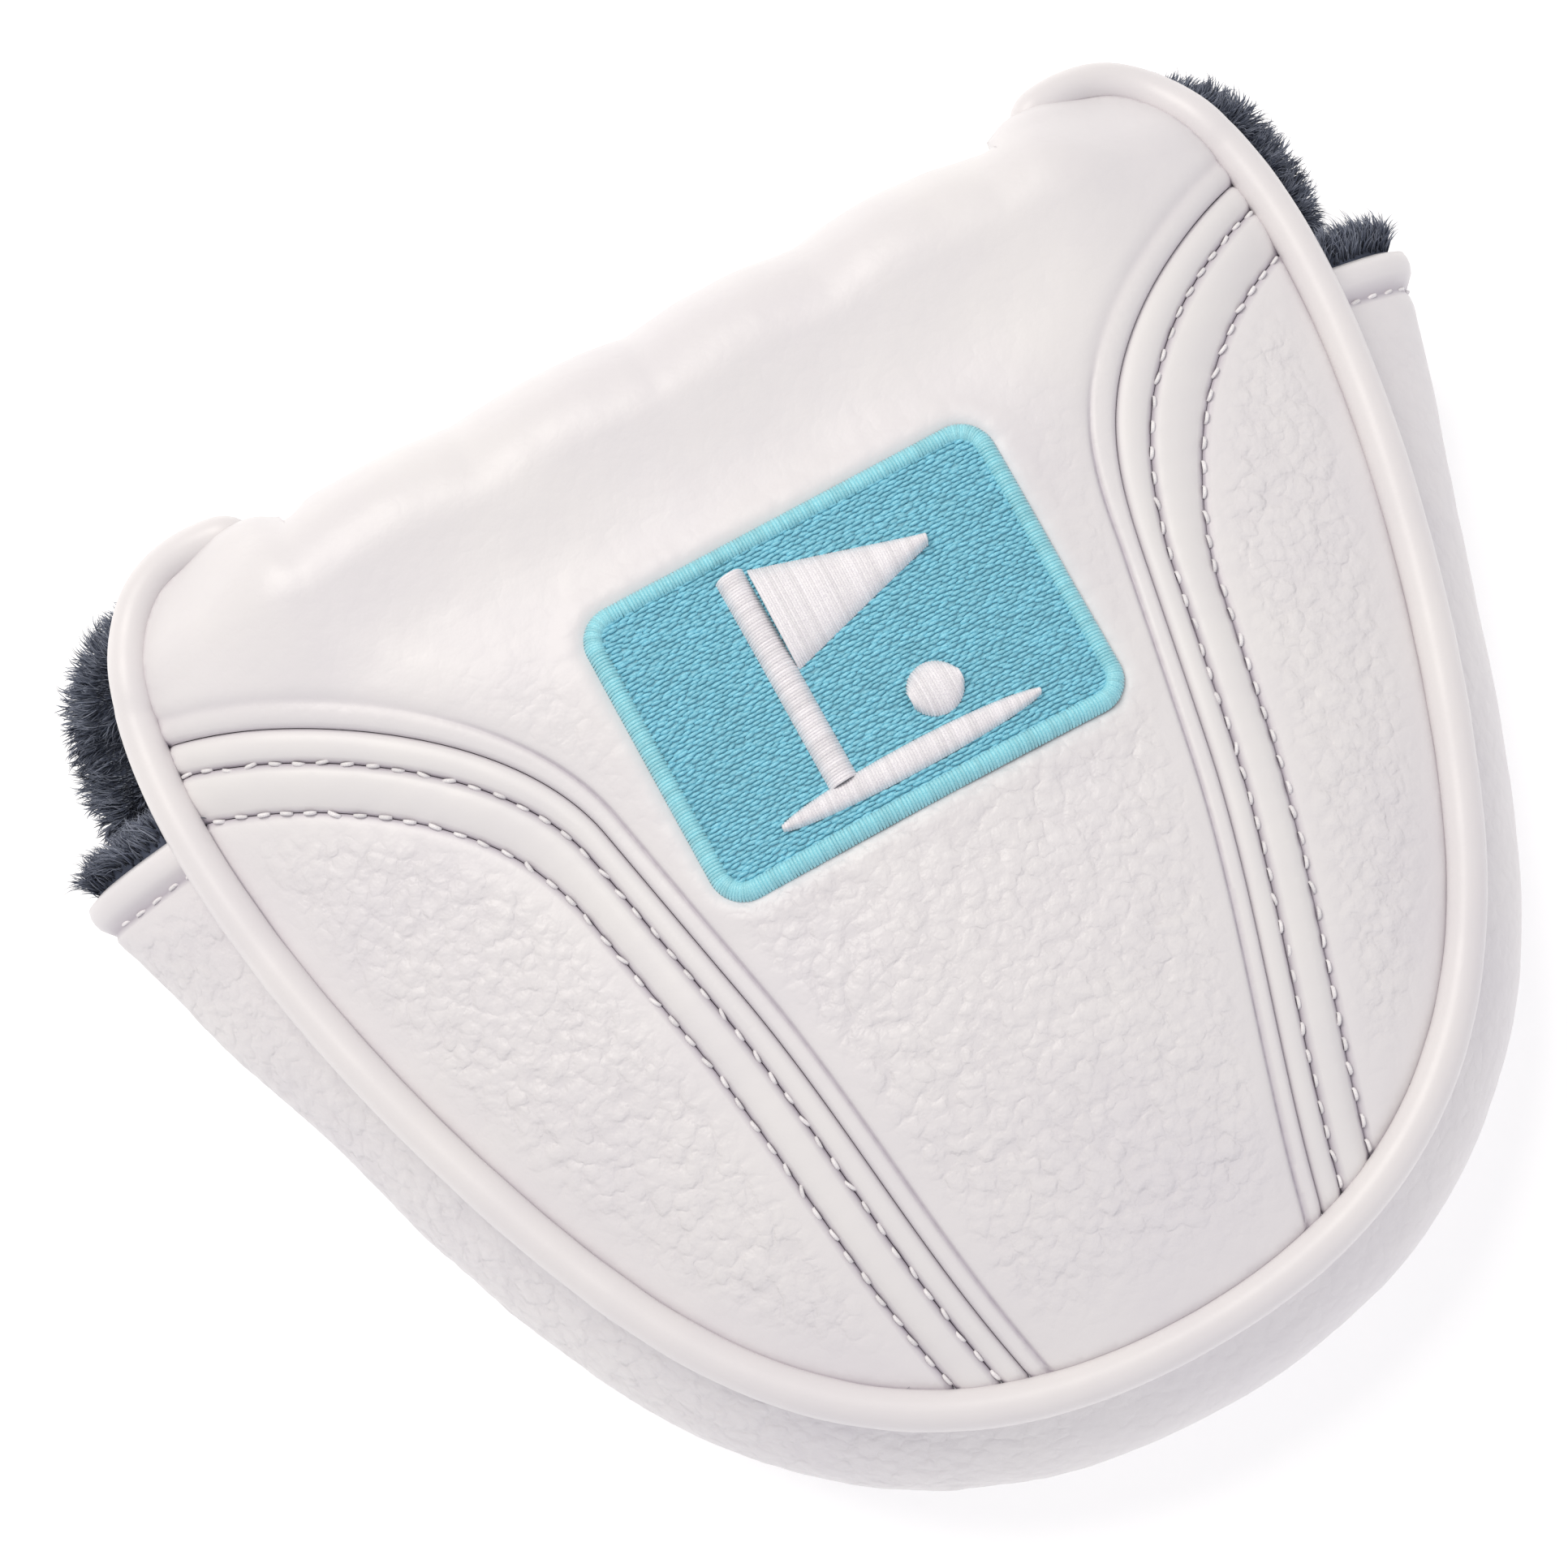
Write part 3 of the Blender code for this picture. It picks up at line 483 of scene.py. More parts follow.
def math_node(tree, operation, a, b=0.0, clamp=False):
    made = node(tree, "ShaderNodeMath", {0: a, 1: b}, operation=operation)
    made.use_clamp = clamp
    return made.outputs[0]


def ramp(tree, value, stops):
    made = node(tree, "ShaderNodeValToRGB", {"Fac": value})
    elements = made.color_ramp.elements
    while len(elements) < len(stops):
        elements.new(0.5)
    for element, (position, colour) in zip(elements, stops):
        element.position = position
        element.color = (*colour, 1.0)
    return made.outputs["Color"]


def blend_colour(tree, factor, a, b, blend_type="MIX"):
    made = node(tree, "ShaderNodeMix", data_type="RGBA", blend_type=blend_type)
    for index, value in ((0, factor), (6, a), (7, b)):
        if isinstance(value, bpy.types.NodeSocket):
            tree.links.new(value, made.inputs[index])
        else:
            made.inputs[index].default_value = value
    return made.outputs[2]


def leather(name, light, shade, crease, grain_size, grain_depth, roughness):
    """Coated leather: grain where the piece's grain value is high; crease is the colour of the painted shade
    in the grain's creases and along the seams.
    """
    material, tree, surface = shader(name, Coat_Weight=0.12, Coat_Roughness=0.32, Specular_IOR_Level=0.42)
    place_at = attribute(tree, "rest").outputs["Vector"]
    wide = node(tree, "ShaderNodeTexNoise", {"Vector": place_at, "Scale": 0.035, "Detail": 3.0})
    mottle = node(tree, "ShaderNodeTexNoise", {"Vector": place_at, "Scale": 0.28, "Detail": 4.0})
    pores = node(tree, "ShaderNodeTexNoise", {"Vector": place_at, "Scale": 2.6, "Detail": 3.0})
    bend = node(tree, "ShaderNodeTexNoise", {"Vector": place_at, "Scale": 0.8 / grain_size, "Detail": 3.0})
    warp = node(tree, "ShaderNodeVectorMath", {0: bend.outputs["Color"], 1: (grain_size * 1.5,) * 3},
                operation="MULTIPLY")
    warp = node(tree, "ShaderNodeVectorMath", {0: place_at, 1: warp.outputs[0]}, operation="ADD")
    pebble = node(tree, "ShaderNodeTexVoronoi", {"Vector": warp.outputs[0], "Scale": 1.0 / grain_size,
                                                 "Smoothness": 0.35}, feature="SMOOTH_F1")
    edge = ramp(tree, pebble.outputs["Distance"],
                ((0.15, (1, 1, 1)), (0.5, (0.65,) * 3), (0.85, (0, 0, 0))))
    grain = attribute(tree, "grain").outputs["Fac"]
    groove = attribute(tree, "groove").outputs["Fac"]
    tone = ramp(tree, wide.outputs["Fac"], ((0.3, light), (0.75, shade)))
    tone = blend_colour(tree, math_node(tree, "MULTIPLY", mottle.outputs["Fac"], 0.16), tone, (*shade, 1.0))
    # The grain's creases are mixed a little towards the crease colour: painted shade in the hollows between
    # the pebbles.
    lines = math_node(tree, "MULTIPLY", math_node(tree, "SUBTRACT", 1.0, edge), grain)
    tone = blend_colour(tree, math_node(tree, "MULTIPLY", lines, 0.07), tone, (*crease, 1.0))
    # The groove value mixes in the crease colour along seams, stitch rows and hems: painted shade in the
    # grooves.
    tone = blend_colour(tree, groove, tone, (*crease, 1.0))
    tree.links.new(tone, surface.inputs["Base Color"])
    gloss = math_node(tree, "MULTIPLY_ADD", mottle.outputs["Fac"], 0.16)
    tree.nodes[-1].inputs[2].default_value = roughness - 0.08
    tree.links.new(gloss, surface.inputs["Roughness"])
    height = math_node(tree, "MULTIPLY", edge, grain)
    first = node(tree, "ShaderNodeBump", {"Height": height, "Strength": 1.0, "Distance": grain_depth * MM})
    second = node(tree, "ShaderNodeBump", {"Height": pores.outputs["Fac"], "Strength": 0.5,
                                          "Distance": 0.035 * MM, "Normal": first.outputs["Normal"]})
    tree.links.new(second.outputs["Normal"], surface.inputs["Normal"])
    return material


def thread(name, light, dark, across=7.0):
    """Shiny embroidery thread with fine twisted strands."""
    material, tree, surface = shader(name, Roughness=0.42, Sheen_Weight=0.35, Sheen_Roughness=0.4,
                                     Specular_IOR_Level=0.5)
    place_at = attribute(tree, "rest").outputs["Vector"]
    tint = attribute(tree, "tint").outputs["Fac"]
    fibre = node(tree, "ShaderNodeTexNoise", {"Vector": place_at, "Scale": across, "Detail": 2.0})
    # The fibre noise darkens the colour where its bump is low: painted shade between the strands.
    tone = ramp(tree, fibre.outputs["Fac"], ((0.32, dark), (0.6, light)))
    lift = node(tree, "ShaderNodeHueSaturation",
                {"Value": math_node(tree, "ADD", tint, 1.0), "Color": tone})
    tree.links.new(lift.outputs["Color"], surface.inputs["Base Color"])
    bump = node(tree, "ShaderNodeBump",
                {"Height": fibre.outputs["Fac"], "Strength": 0.6, "Distance": 0.05 * MM})
    tree.links.new(bump.outputs["Normal"], surface.inputs["Normal"])
    return material


def plush_material():
    material, tree, surface = shader("plush_pile", Roughness=0.85, Sheen_Weight=0.6, Sheen_Roughness=0.35,
                                     Specular_IOR_Level=0.2)
    surface.inputs["Sheen Tint"].default_value = (0.55, 0.6, 0.7, 1.0)
    place_at = attribute(tree, "rest").outputs["Vector"]
    tip = attribute(tree, "tip").outputs["Fac"]
    clumps = node(tree, "ShaderNodeTexNoise", {"Vector": place_at, "Scale": 0.35, "Detail": 3.0})
    share = math_node(tree, "MULTIPLY_ADD", tip, 0.62)
    tree.links.new(math_node(tree, "MULTIPLY", clumps.outputs["Fac"], 0.42), tree.nodes[-2].inputs[2])
    tone = ramp(tree, share, ((0.15, (0.018, 0.021, 0.034)), (0.45, (0.09, 0.105, 0.15)),
                              (0.9, (0.31, 0.335, 0.41))))
    tree.links.new(tone, surface.inputs["Base Color"])
    return material


def foam_material():
    material, tree, surface = shader("foam_sheet", Roughness=0.95)
    place_at = node(tree, "ShaderNodeTexCoord").outputs["Object"]
    holes = node(tree, "ShaderNodeTexVoronoi", {"Vector": place_at, "Scale": 1800.0})
    # Darker in the holes: painted shade in the foam's pores.
    tone = ramp(tree, holes.outputs["Distance"], ((0.0, (0.34, 0.34, 0.31)), (0.6, (0.56, 0.55, 0.5))))
    tree.links.new(tone, surface.inputs["Base Color"])
    bump = node(tree, "ShaderNodeBump", {"Height": holes.outputs["Distance"], "Distance": 0.2 * MM})
    tree.links.new(bump.outputs["Normal"], surface.inputs["Normal"])
    return material


def cotton_material():
    material, tree, surface = shader("cotton_cord", Roughness=0.9)
    place_at = node(tree, "ShaderNodeTexCoord").outputs["Object"]
    twist = node(tree, "ShaderNodeTexWave", {"Vector": place_at, "Scale": 500.0, "Distortion": 3.0})
    # Darker in the twist's troughs, where the bump is low: painted shade.
    tone = ramp(tree, twist.outputs["Fac"], ((0.0, (0.5, 0.46, 0.36)), (1.0, (0.75, 0.71, 0.6))))
    tree.links.new(tone, surface.inputs["Base Color"])
    bump = node(tree, "ShaderNodeBump", {"Height": twist.outputs["Fac"], "Distance": 0.1 * MM})
    tree.links.new(bump.outputs["Normal"], surface.inputs["Normal"])
    return material


def steel_material():
    material, tree, surface = shader("plated_steel", Metallic=1.0)
    place_at = node(tree, "ShaderNodeTexCoord").outputs["Object"]
    marks = node(tree, "ShaderNodeTexNoise", {"Vector": place_at, "Scale": 700.0, "Detail": 4.0})
    tone = ramp(tree, marks.outputs["Fac"], ((0.3, (0.42, 0.43, 0.45)), (0.7, (0.62, 0.63, 0.65))))
    tree.links.new(tone, surface.inputs["Base Color"])
    tree.links.new(math_node(tree, "MULTIPLY_ADD", marks.outputs["Fac"], 0.3), surface.inputs["Roughness"])
    tree.nodes[-1].inputs[2].default_value = 0.12
    return material


# The third colour of each leather is the lilac of its painted shade, for grain creases and seams.
SMOOTH = leather("smooth_white_leather", (0.86, 0.84, 0.83), (0.80, 0.775, 0.795), (0.38, 0.33, 0.41),
                 2.3, 0.10, 0.44)
GRAINED = leather("grained_white_leather", (0.85, 0.827, 0.825), (0.79, 0.763, 0.79), (0.38, 0.33, 0.41),
                  1.7, 0.22, 0.40)
PIPED = leather("piping_white_leather", (0.86, 0.83, 0.825), (0.80, 0.77, 0.79), (0.38, 0.33, 0.41),
                1.6, 0.04, 0.40)
STITCH_WHITE = thread("stitching_thread", (0.92, 0.90, 0.90), (0.78, 0.75, 0.78))
FILL_BLUE = thread("patch_fill_thread", (0.30, 0.72, 0.86), (0.19, 0.55, 0.70))
BORDER_BLUE = thread("patch_border_thread", (0.40, 0.82, 0.90), (0.26, 0.66, 0.77))
SATIN_WHITE = thread("motif_satin_thread", (0.94, 0.92, 0.94), (0.78, 0.75, 0.80))
PLUSH = plush_material()
FOAM = foam_material()
COTTON = cotton_material()
STEEL = steel_material()

# ---------------------------------------------------------------- front panels

FLANGE = 0.75                 # how far the panels reach under the piping
NECK_COVER = 1.5              # and further still, over its end, beside the spine


def at_neck(x, y):
    """1 where the leather closes over the end of the piping beside the spine, 0 elsewhere."""
    return (1 - ease(np.abs(x), 49.0, 58.0)) * ease(y, 56.0, 62.0)


SEAM_IN = SEAM_HALF + outward(SEAM_HALF) * (FLANGE + NECK_COVER * at_neck(*SEAM_HALF.T))[:, None]
SEAM_IN[0] = (0.0, TIP_Y - FLANGE)
SEAM_IN = resample(SEAM_IN, 0.8)
FRONT_IN = mirror_outline(SEAM_IN)


def seam_slice(a, b):
    """The inset seam's points between the ones nearest to a and b, ends left out."""
    first, last = (int(np.argmin(np.linalg.norm(SEAM_IN - p, axis=1))) for p in (a, b))
    if first < last:
        return SEAM_IN[first + 1:last]
    return SEAM_IN[last + 1:first][::-1]


def seam_side(line, out):
    """A seam line moved sideways and cut off at the inset seam."""
    moved = resample(line + out * outward(line), 0.8)
    return moved[inside(FRONT_IN, moved)]


def placed(points, side, skewed):
    points = points.copy()
    points[:, 0] = side * points[:, 0] + (skew(points[:, 1]) if skewed else 0.0)
    return points


def side_outline(inner, outer, side):
    """A panel between two seam lines, or between one and the welt, on one side."""
    low = seam_side(LINE[inner], 0.05)
    if outer:
        high = seam_side(LINE[outer], -0.05)
        parts = [(high, True), (seam_slice(high[-1], low[-1]), False), (low[::-1], True),
                 (seam_slice(low[0], high[0]), False)]
    else:
        parts = [(seam_slice(low[0], low[-1]), False), (low[::-1], True)]
    loop = np.vstack([placed(p, side, s) for p, s in parts if len(p)])
    return loop if side > 0 else loop[::-1]


def centre_outline():
    halves = []
    for side in (1, -1):
        line = seam_side(LINE[3], -0.05)
        tip = seam_slice(SEAM_IN[0], line[0])
        ear = seam_slice(line[-1], SEAM_IN[-1])
        ear = ear[ear[:, 0] > MIDDLE_HALF + 0.2]
        cut = np.stack([np.full(8, MIDDLE_HALF), np.linspace(ear[-1, 1] - 0.2, SPLIT_Q, 8)], 1)
        across = np.stack([np.linspace(MIDDLE_HALF, 0.4, 57), np.full(57, SPLIT_Q)], 1)[1:]
        halves.append(np.vstack([placed(tip, side, False), placed(line, side, True),
                                 placed(ear, side, False), placed(cut, side, False),
                                 placed(across, side, False)]))
    return clean_loop(np.vstack([halves[0], halves[1][::-1]]))


def seam_roll(d, radius, depth):
    """A sewn edge: the surface turns down on a quarter round."""
    t = np.clip(1.0 - d / radius, 0.0, 1.0)
    return -depth * (1.0 - np.sqrt(1.0 - np.minimum(t, 0.999) ** 2))


def groove_at(d, width=0.42):
    return np.exp(-(d / width) ** 2)


def patch_distance(x, y, grow=0.0):
    """Signed distance to the patch's rounded outline, negative inside."""
    corner = 4.0
    dx = np.abs(x - PATCH_X) - (PATCH_W / 2 + grow - corner)
    dy = np.abs(y - PATCH_Y) - (PATCH_H / 2 + grow - corner)
    outer = np.hypot(np.maximum(dx, 0), np.maximum(dy, 0))
    return outer + np.minimum(np.maximum(dx, dy), 0) - corner


def patch_pucker(x, y):
    """The leather round the patch: pulled down beneath it, a soft lip, and short wrinkles."""
    d = patch_distance(x, y)
    dx, dy = np.abs(x - PATCH_X) / PATCH_W, np.abs(y - PATCH_Y) / PATCH_H
    along = np.where(dy > dx, x, y)
    line = (1.0 - np.abs(noise(along, d * 0.22, 1.9, 21))) ** 5
    reach = np.exp(-np.maximum(d, 0) / 3.0) * (0.5 + 0.5 * noise(x, y, 7.0, 22)) * ease(d, 0.0, 0.8)
    lip = 0.30 * np.exp(-((d - 1.8) / 1.7) ** 2)
    return lip - 0.22 * line * reach - 0.35 * (1 - ease(d, -0.4, 1.0))


def lobes(x, q):
    """Soft swellings where the leather is pulled over the spine."""
    wave = np.abs(np.sin(math.pi * (x + 2.0) / 22.0)) ** 0.9
    fine = 0.12 * noise(x, q * 0.5, 3.0, 31)
    pull = (0.85 * wave - 0.62 + fine) * ease(q, 56.0, 63.0) * (1 - ease(q, 71.0, 79.0))
    swell = 2.5 * ease(q, 45.0, 64.0) * (1 - ease(q, 71.0, 79.0)) * (1 - ease(np.abs(x), 48.0, 60.0))
    return pull * (1 - ease(np.abs(x), 46.0, 52.0)) + swell


def waviness(x, y):
    return 0.22 * noise(x, y, 19.0, 1) + 0.10 * noise(x, y, 8.0, 2) + 0.03 * noise(x, y, 2.8, 6)


def mirrored_plan(plan):
    x, y = plan.T
    return np.stack([np.abs(x - skew(y)), y], 1)


def seam_distance(plan):
    x, q = plan.T
    folded = np.stack([np.abs(x), q], 1)
    cover = NECK_COVER * at_neck(*SEAM_HALF.T)
    edge = np.vstack([SEAM_HALF + outward(SEAM_HALF) * cover[:, None], [(46.2, 90.0)]])
    d = distance(folded, edge)
    loop = np.vstack([edge, [(-1.0, 90.0), (-1.0, TIP_Y)]])
    d = np.where(inside(loop, folded), d, 0.0)
    return d


def seam_edge(plan):
    """The roll of the leather's edge beside the piping; at the neck it covers the piping's end."""
    neck = at_neck(*plan.T)
    return seam_roll(seam_distance(plan), mix(1.7, 3.6, neck), mix(0.85, 2.2, neck))


def centre_relief(plan):
    x, y = plan.T
    folded = mirrored_plan(plan)
    d3, d4, seam = distance(folded, LINE[3]), distance(folded, LINE[4]), seam_distance(plan)
    inner = folded[:, 0] < np.interp(y, LINE[4][:, 1], LINE[4][:, 0])
    s4 = np.where(inner, d4, -d4)
    top = ease(y, 24.0, 43.0)
    strip = -0.12 - 0.10 * (s4 + 1.1) ** 2
    low = np.where(s4 > 0, 0.5 * (1 - np.exp(-s4 / 2.2)) - 0.12, strip)
    low = low - 0.42 * groove_at(d4, 0.30) + seam_roll(d3, 0.55, 0.75)
    high = 0.40 + seam_roll(d3, 2.6, 1.3) - 0.36 * groove_at(d4, 0.95)
    beside = (y < 57.0) & (d3 < 12.0)
    body = np.where(beside, mix(low, high, top), 0.40)
    body = mix(body, 0.40, ease(d3, 8.0, 12.0))
    grain = (1 - ease(y, -3.0, 9.0)) * ease(y, -56.0, -44.0) * ease(s4, 0.5, 5.0)
    beside_patch = ease(np.abs(x - PATCH_X), 25.0, 31.0)
    grain = grain + 0.45 * beside_patch * (1 - ease(y, 28.0, 44.0)) * ease(y, -3, 9)
    grain = grain * ease(s4, 0.3, 3.0)
    height = body + seam_edge(plan) + waviness(x, y) * ease(d3, 0.5, 4.0)
    height = height + 0.24 * grain * pebbles(x, y, 4.0, 1) + 0.10 * grain * noise(x, y, 5.0, 8)
    height = height + patch_pucker(x, y) * (y < 50) + lobes(x, y)
    # The groove value: painted shade along the piping seam, line 3 and line 4.
    groove = 0.8 * groove_at(seam, 0.5) * (1 - at_neck(x, y)) + 0.5 * groove_at(d3, 0.35)
    groove = groove + 0.8 * groove_at(d4, 0.24) * (1 - top) + 0.14 * groove_at(d4, 0.7) * top * beside
    return height, {"grain": np.clip(grain + 0.12, 0, 1), "groove": np.clip(groove, 0, 1) * 0.8}


def narrow_relief(plan):
    x, y = plan.T
    folded = mirrored_plan(plan)
    d3, d2, seam = distance(folded, LINE[3]), distance(folded, LINE[2]), seam_distance(plan)
    share = d3 / np.maximum(d3 + d2, 1e-6)
    round_ = np.maximum(np.sin(math.pi * share), 0.0) ** 0.55
    height = -0.95 + 0.95 * round_ - 0.10 * share + seam_roll(seam, 1.3, 0.7) + 0.05 * noise(x, y, 4.0, 3)
    # Painted shade along the stitch line, the piping seam and line 3, for the colour only.
    stitch_line_shade = groove_at(d2, 0.40)
    groove = 0.7 * groove_at(seam, 0.36) + 0.45 * groove_at(d3, 0.3) + 0.8 * stitch_line_shade
    return height, {"grain": np.full(len(x), 0.06), "groove": np.clip(groove, 0, 1) * 0.85}


def wide_relief(plan):
    x, y = plan.T
    folded = mirrored_plan(plan)
    d2, d1, seam = distance(folded, LINE[2]), distance(folded, LINE[1]), seam_distance(plan)
    rise = np.sqrt(np.clip(1 - (1 - np.minimum(d2 / 1.5, 1.0)) ** 2, 0, 1))
    fall_width = mix(1.8, 3.6, ease(y, -20.0, 30.0))
    fall = 1 - (1 - np.clip(d1 / fall_width, 0, 1)) ** 1.7
    height = -0.90 + 0.95 * rise * fall + seam_roll(seam, 1.3, 0.7) + 0.07 * noise(x, y, 6.0, 4)
    dent = 0.14 * np.abs(np.sin(math.pi * y / 2.9)) * np.exp(-np.minimum(d1, d2) / 0.9)
    # Painted shade along the piping seam and both stitch lines.
    groove = 0.7 * groove_at(seam, 0.36) + 0.8 * groove_at(d2, 0.42) + 0.8 * groove_at(d1, 0.42)
    return height - dent, {"grain": np.full(len(x), 0.08), "groove": np.clip(groove, 0, 1) * 0.85}


def wing_relief(plan):
    x, y = plan.T
    folded = mirrored_plan(plan)
    d1, seam = distance(folded, LINE[1]), seam_distance(plan)
    rise = np.sqrt(np.clip(1 - (1 - np.minimum(d1 / 1.4, 1.0)) ** 2, 0, 1))
    puff = 0.55 * (1 - np.exp(-np.minimum(d1, seam) / 5.0))
    grain = ease(d1, 0.6, 5.0) * ease(seam, 1.5, 7.0) * ease(y, -52.0, -36.0)
    grain = grain * (1 - 0.85 * ease(y, 30.0, 40.0))
    height = -0.95 + 0.50 * rise + puff + seam_roll(seam, 1.6, 0.75) + 0.8 * waviness(x, y)
    height = height + 0.22 * grain * pebbles(x, y, 3.2, 5) + 0.09 * grain * noise(x, y, 4.0, 9)
    # Painted shade along the piping seam and the stitch line.
    groove = 0.7 * groove_at(seam, 0.36) + 0.8 * groove_at(d1, 0.42)
    return height, {"grain": np.clip(grain + 0.12, 0, 1), "groove": np.clip(groove, 0, 1) * 0.85}


def finish(piece, slot, *nodes, body=None, pad=None):
    """Hides the solids that a piece stands for and hangs it on the body it rides on; pad, how full it is, is
    not used.
    """
    if body:
        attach(piece, body)
    if nodes:
        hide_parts(*nodes)
    return piece


def flush_normals(points, faces, sheet, relief, facing, plan, near):
    """The mesh's own vertex normals, but those of the whole sheet where two panels join flush."""
    data = bpy.data.meshes.new("normals")
    data.from_pydata(points.tolist(), [], faces)
    normals = np.zeros(len(points) * 3, np.float32)
    data.vertices.foreach_get("normal", normals)
    bpy.data.meshes.remove(data)
    normals = normals.reshape(-1, 3)
    at, h = plan[near], 0.35
    sides = []
    for step in ((h, 0.0), (-h, 0.0), (0.0, h), (0.0, -h)):
        base, normal = place(sheet, at + step, facing)
        sides.append(base + normal * relief(at + step)[0][:, None])
    found = np.cross(sides[0] - sides[1], sides[2] - sides[3]) * facing
    normals[:len(plan)][near] = found / np.linalg.norm(found, axis=1)[:, None]
    return normals


def leather_panel(name, sheet, outline, pitch, relief, material, facing=1.0, flush=False, creases=()):
    points, faces, values, plan = slab(sheet, outline, pitch, relief, facing, creases=creases)
    normals = None
    if flush:
        x, q = np.abs(plan[:, 0]), plan[:, 1]
        near = (np.abs(q - SPLIT_Q) < 0.05) & (x < MIDDLE_HALF + 0.05)
        near |= (np.abs(x - MIDDLE_HALF) < 0.05) & (q > SPLIT_Q) & (q < 64.8)
        normals = flush_normals(points, faces, sheet, relief, facing, plan, near)
    return new_object(name, points, faces, material, normals, **values)


FINE = 0.62

stitched = [placed(resample(LINE[4], 0.5), side, True) for side in (-1, 1)]
finish(leather_panel("centre_leather", front_sheet, centre_outline(), FINE, centre_relief, GRAINED,
                     flush=True, creases=stitched),
       "grained_leather", "centre_panel", body="pouch", pad=0.6)
for side_name, side in (("left", -1), ("right", 1)):
    for kind, inner, outer, relief in (("narrow_band", 3, 2, narrow_relief),
                                       ("wide_band", 2, 1, wide_relief)):
        finish(leather_panel(f"{side_name}_{kind}_leather", front_sheet, side_outline(inner, outer, side),
                             0.6, relief, SMOOTH),
               "smooth_leather", f"{side_name}_{kind}", body="pouch", pad=0.7)
    finish(leather_panel(f"{side_name}_wing_leather", front_sheet, side_outline(1, None, side),
                         FINE, wing_relief, GRAINED),
           "grained_leather", f"{side_name}_wing_panel", body="pouch", pad=0.5)


def strip_outline(half, from_q, to_q, pitch=0.8):
    side = resample(np.array([(half, from_q), (half, to_q)]), pitch)
    top = resample(np.array([(half, to_q), (-half, to_q)]), pitch)
    return clean_loop(np.vstack([side, top, side[::-1] * (-1, 1), top[::-1] * (1, 0) + (0, from_q)]))


def blend_front(piece):
    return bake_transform(piece)


def blend_flap(piece):
    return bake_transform(piece)


piece = leather_panel("upper_spine_leather", front_sheet, strip_outline(MIDDLE_HALF, SPLIT_Q, MID_SPINE_Q),
                      0.8, centre_relief, GRAINED, flush=True)
finish(blend_front(piece), "grained_leather", "spine_leather", pad=0.6)

# ---------------------------------------------------------------- flap and rear panel

def flap_edge(ear=FLAP_EAR, top_y=FLAP_TOP_Y, inset=0.0, corner=6.0):
    half = trace((
        ((0.0, 18.0), (26.0, 18.0), (44.0, 21.0), (53.0, 31.0)),
        ((53.0, 31.0), (58.0, 37.0), (56.0, 46.5), (63.0, 47.0)),
        ((63.0, 47.0), (ear - 3.0, 47.0), (ear, 50.0), (ear, 55.0)),
        ((ear, 55.0), (ear, top_y - corner), (ear - corner + 1.0, top_y), (58.0, top_y)),
        ((58.0, top_y), (53.0, top_y), (49.0, 67.5), (45.4, 66.2)),
    ), 50)
    half = half - inset * outward(half)
    half[0] = (0.0, 18.0 + inset)
    return resample(half, 0.9)


def flap_outline(ear, top_y, inset, stop_q, corner=6.0):
    half = flap_edge(ear, top_y, inset, corner)
    half = half[(half[:, 0] > MIDDLE_HALF + 0.2) | (half[:, 1] < 40.0)]
    cut = np.array([(MIDDLE_HALF, half[-1, 1] - 0.2), (MIDDLE_HALF, stop_q)])
    across = resample(np.array([(MIDDLE_HALF, stop_q), (0.0, stop_q)]), 0.8)[1:-1]
    return mirror_outline(np.vstack([half, cut, across]))


FLAP_LINE = flap_edge()


def flap_relief(plan):
    x, q = plan.T
    edge = distance(np.stack([np.abs(x), q], 1), FLAP_LINE)
    strip = np.where((np.abs(x) <= MIDDLE_HALF) & (q > 60.0), MIDDLE_HALF - np.abs(x), 99.0)
    edge = np.minimum(edge, mix(99.0, strip, ease(q, 60.0, 66.0)))
    grain = 0.75 * ease(edge, 1.5, 6.0)
    height = seam_roll(edge, 1.8, 0.9) + 0.5 * waviness(x, q) - 0.2 + 0.10 * grain * pebbles(x, q, 3.6, 7)
    row = groove_at(edge - HEM_ROW, 0.45) * (q < 58)
    height = height - 0.22 * row
    # Painted shade along the edge and, fainter, in the stitch row.
    groove = 0.8 * groove_at(edge, 0.5) + 0.35 * row
    return height, {"grain": grain, "groove": np.clip(groove, 0, 1) * 0.85}


finish(leather_panel("flap_outer_leather", flap_sheet, flap_outline(FLAP_EAR, FLAP_TOP_Y, 0.3, SPLIT_Q),
                     1.0, flap_relief, GRAINED, facing=-1.0, flush=True),
       "grained_leather", "flap_leather", body="flap", pad=0.4)
piece = leather_panel("lower_spine_leather", flap_sheet, strip_outline(MIDDLE_HALF, SPLIT_Q, MID_SPINE_Q),
                      1.0, flap_relief, GRAINED, facing=-1.0, flush=True)
finish(blend_flap(piece), "grained_leather", "spine_leather", pad=0.4)


def rear_outline(inset, top_y):
    half = resample(SEAM[SEAM[:, 1] < top_y], 0.9)
    half = half - inset * outward(half)
    half[0] = (0.0, TIP_Y + inset)
    half = half[half[:, 1] < top_y - 0.5]
    across = resample(np.array([(half_width(top_y) - inset, top_y), (0.0, top_y)]), 0.9)[:-1]
    return mirror_outline(np.vstack([half, across]))


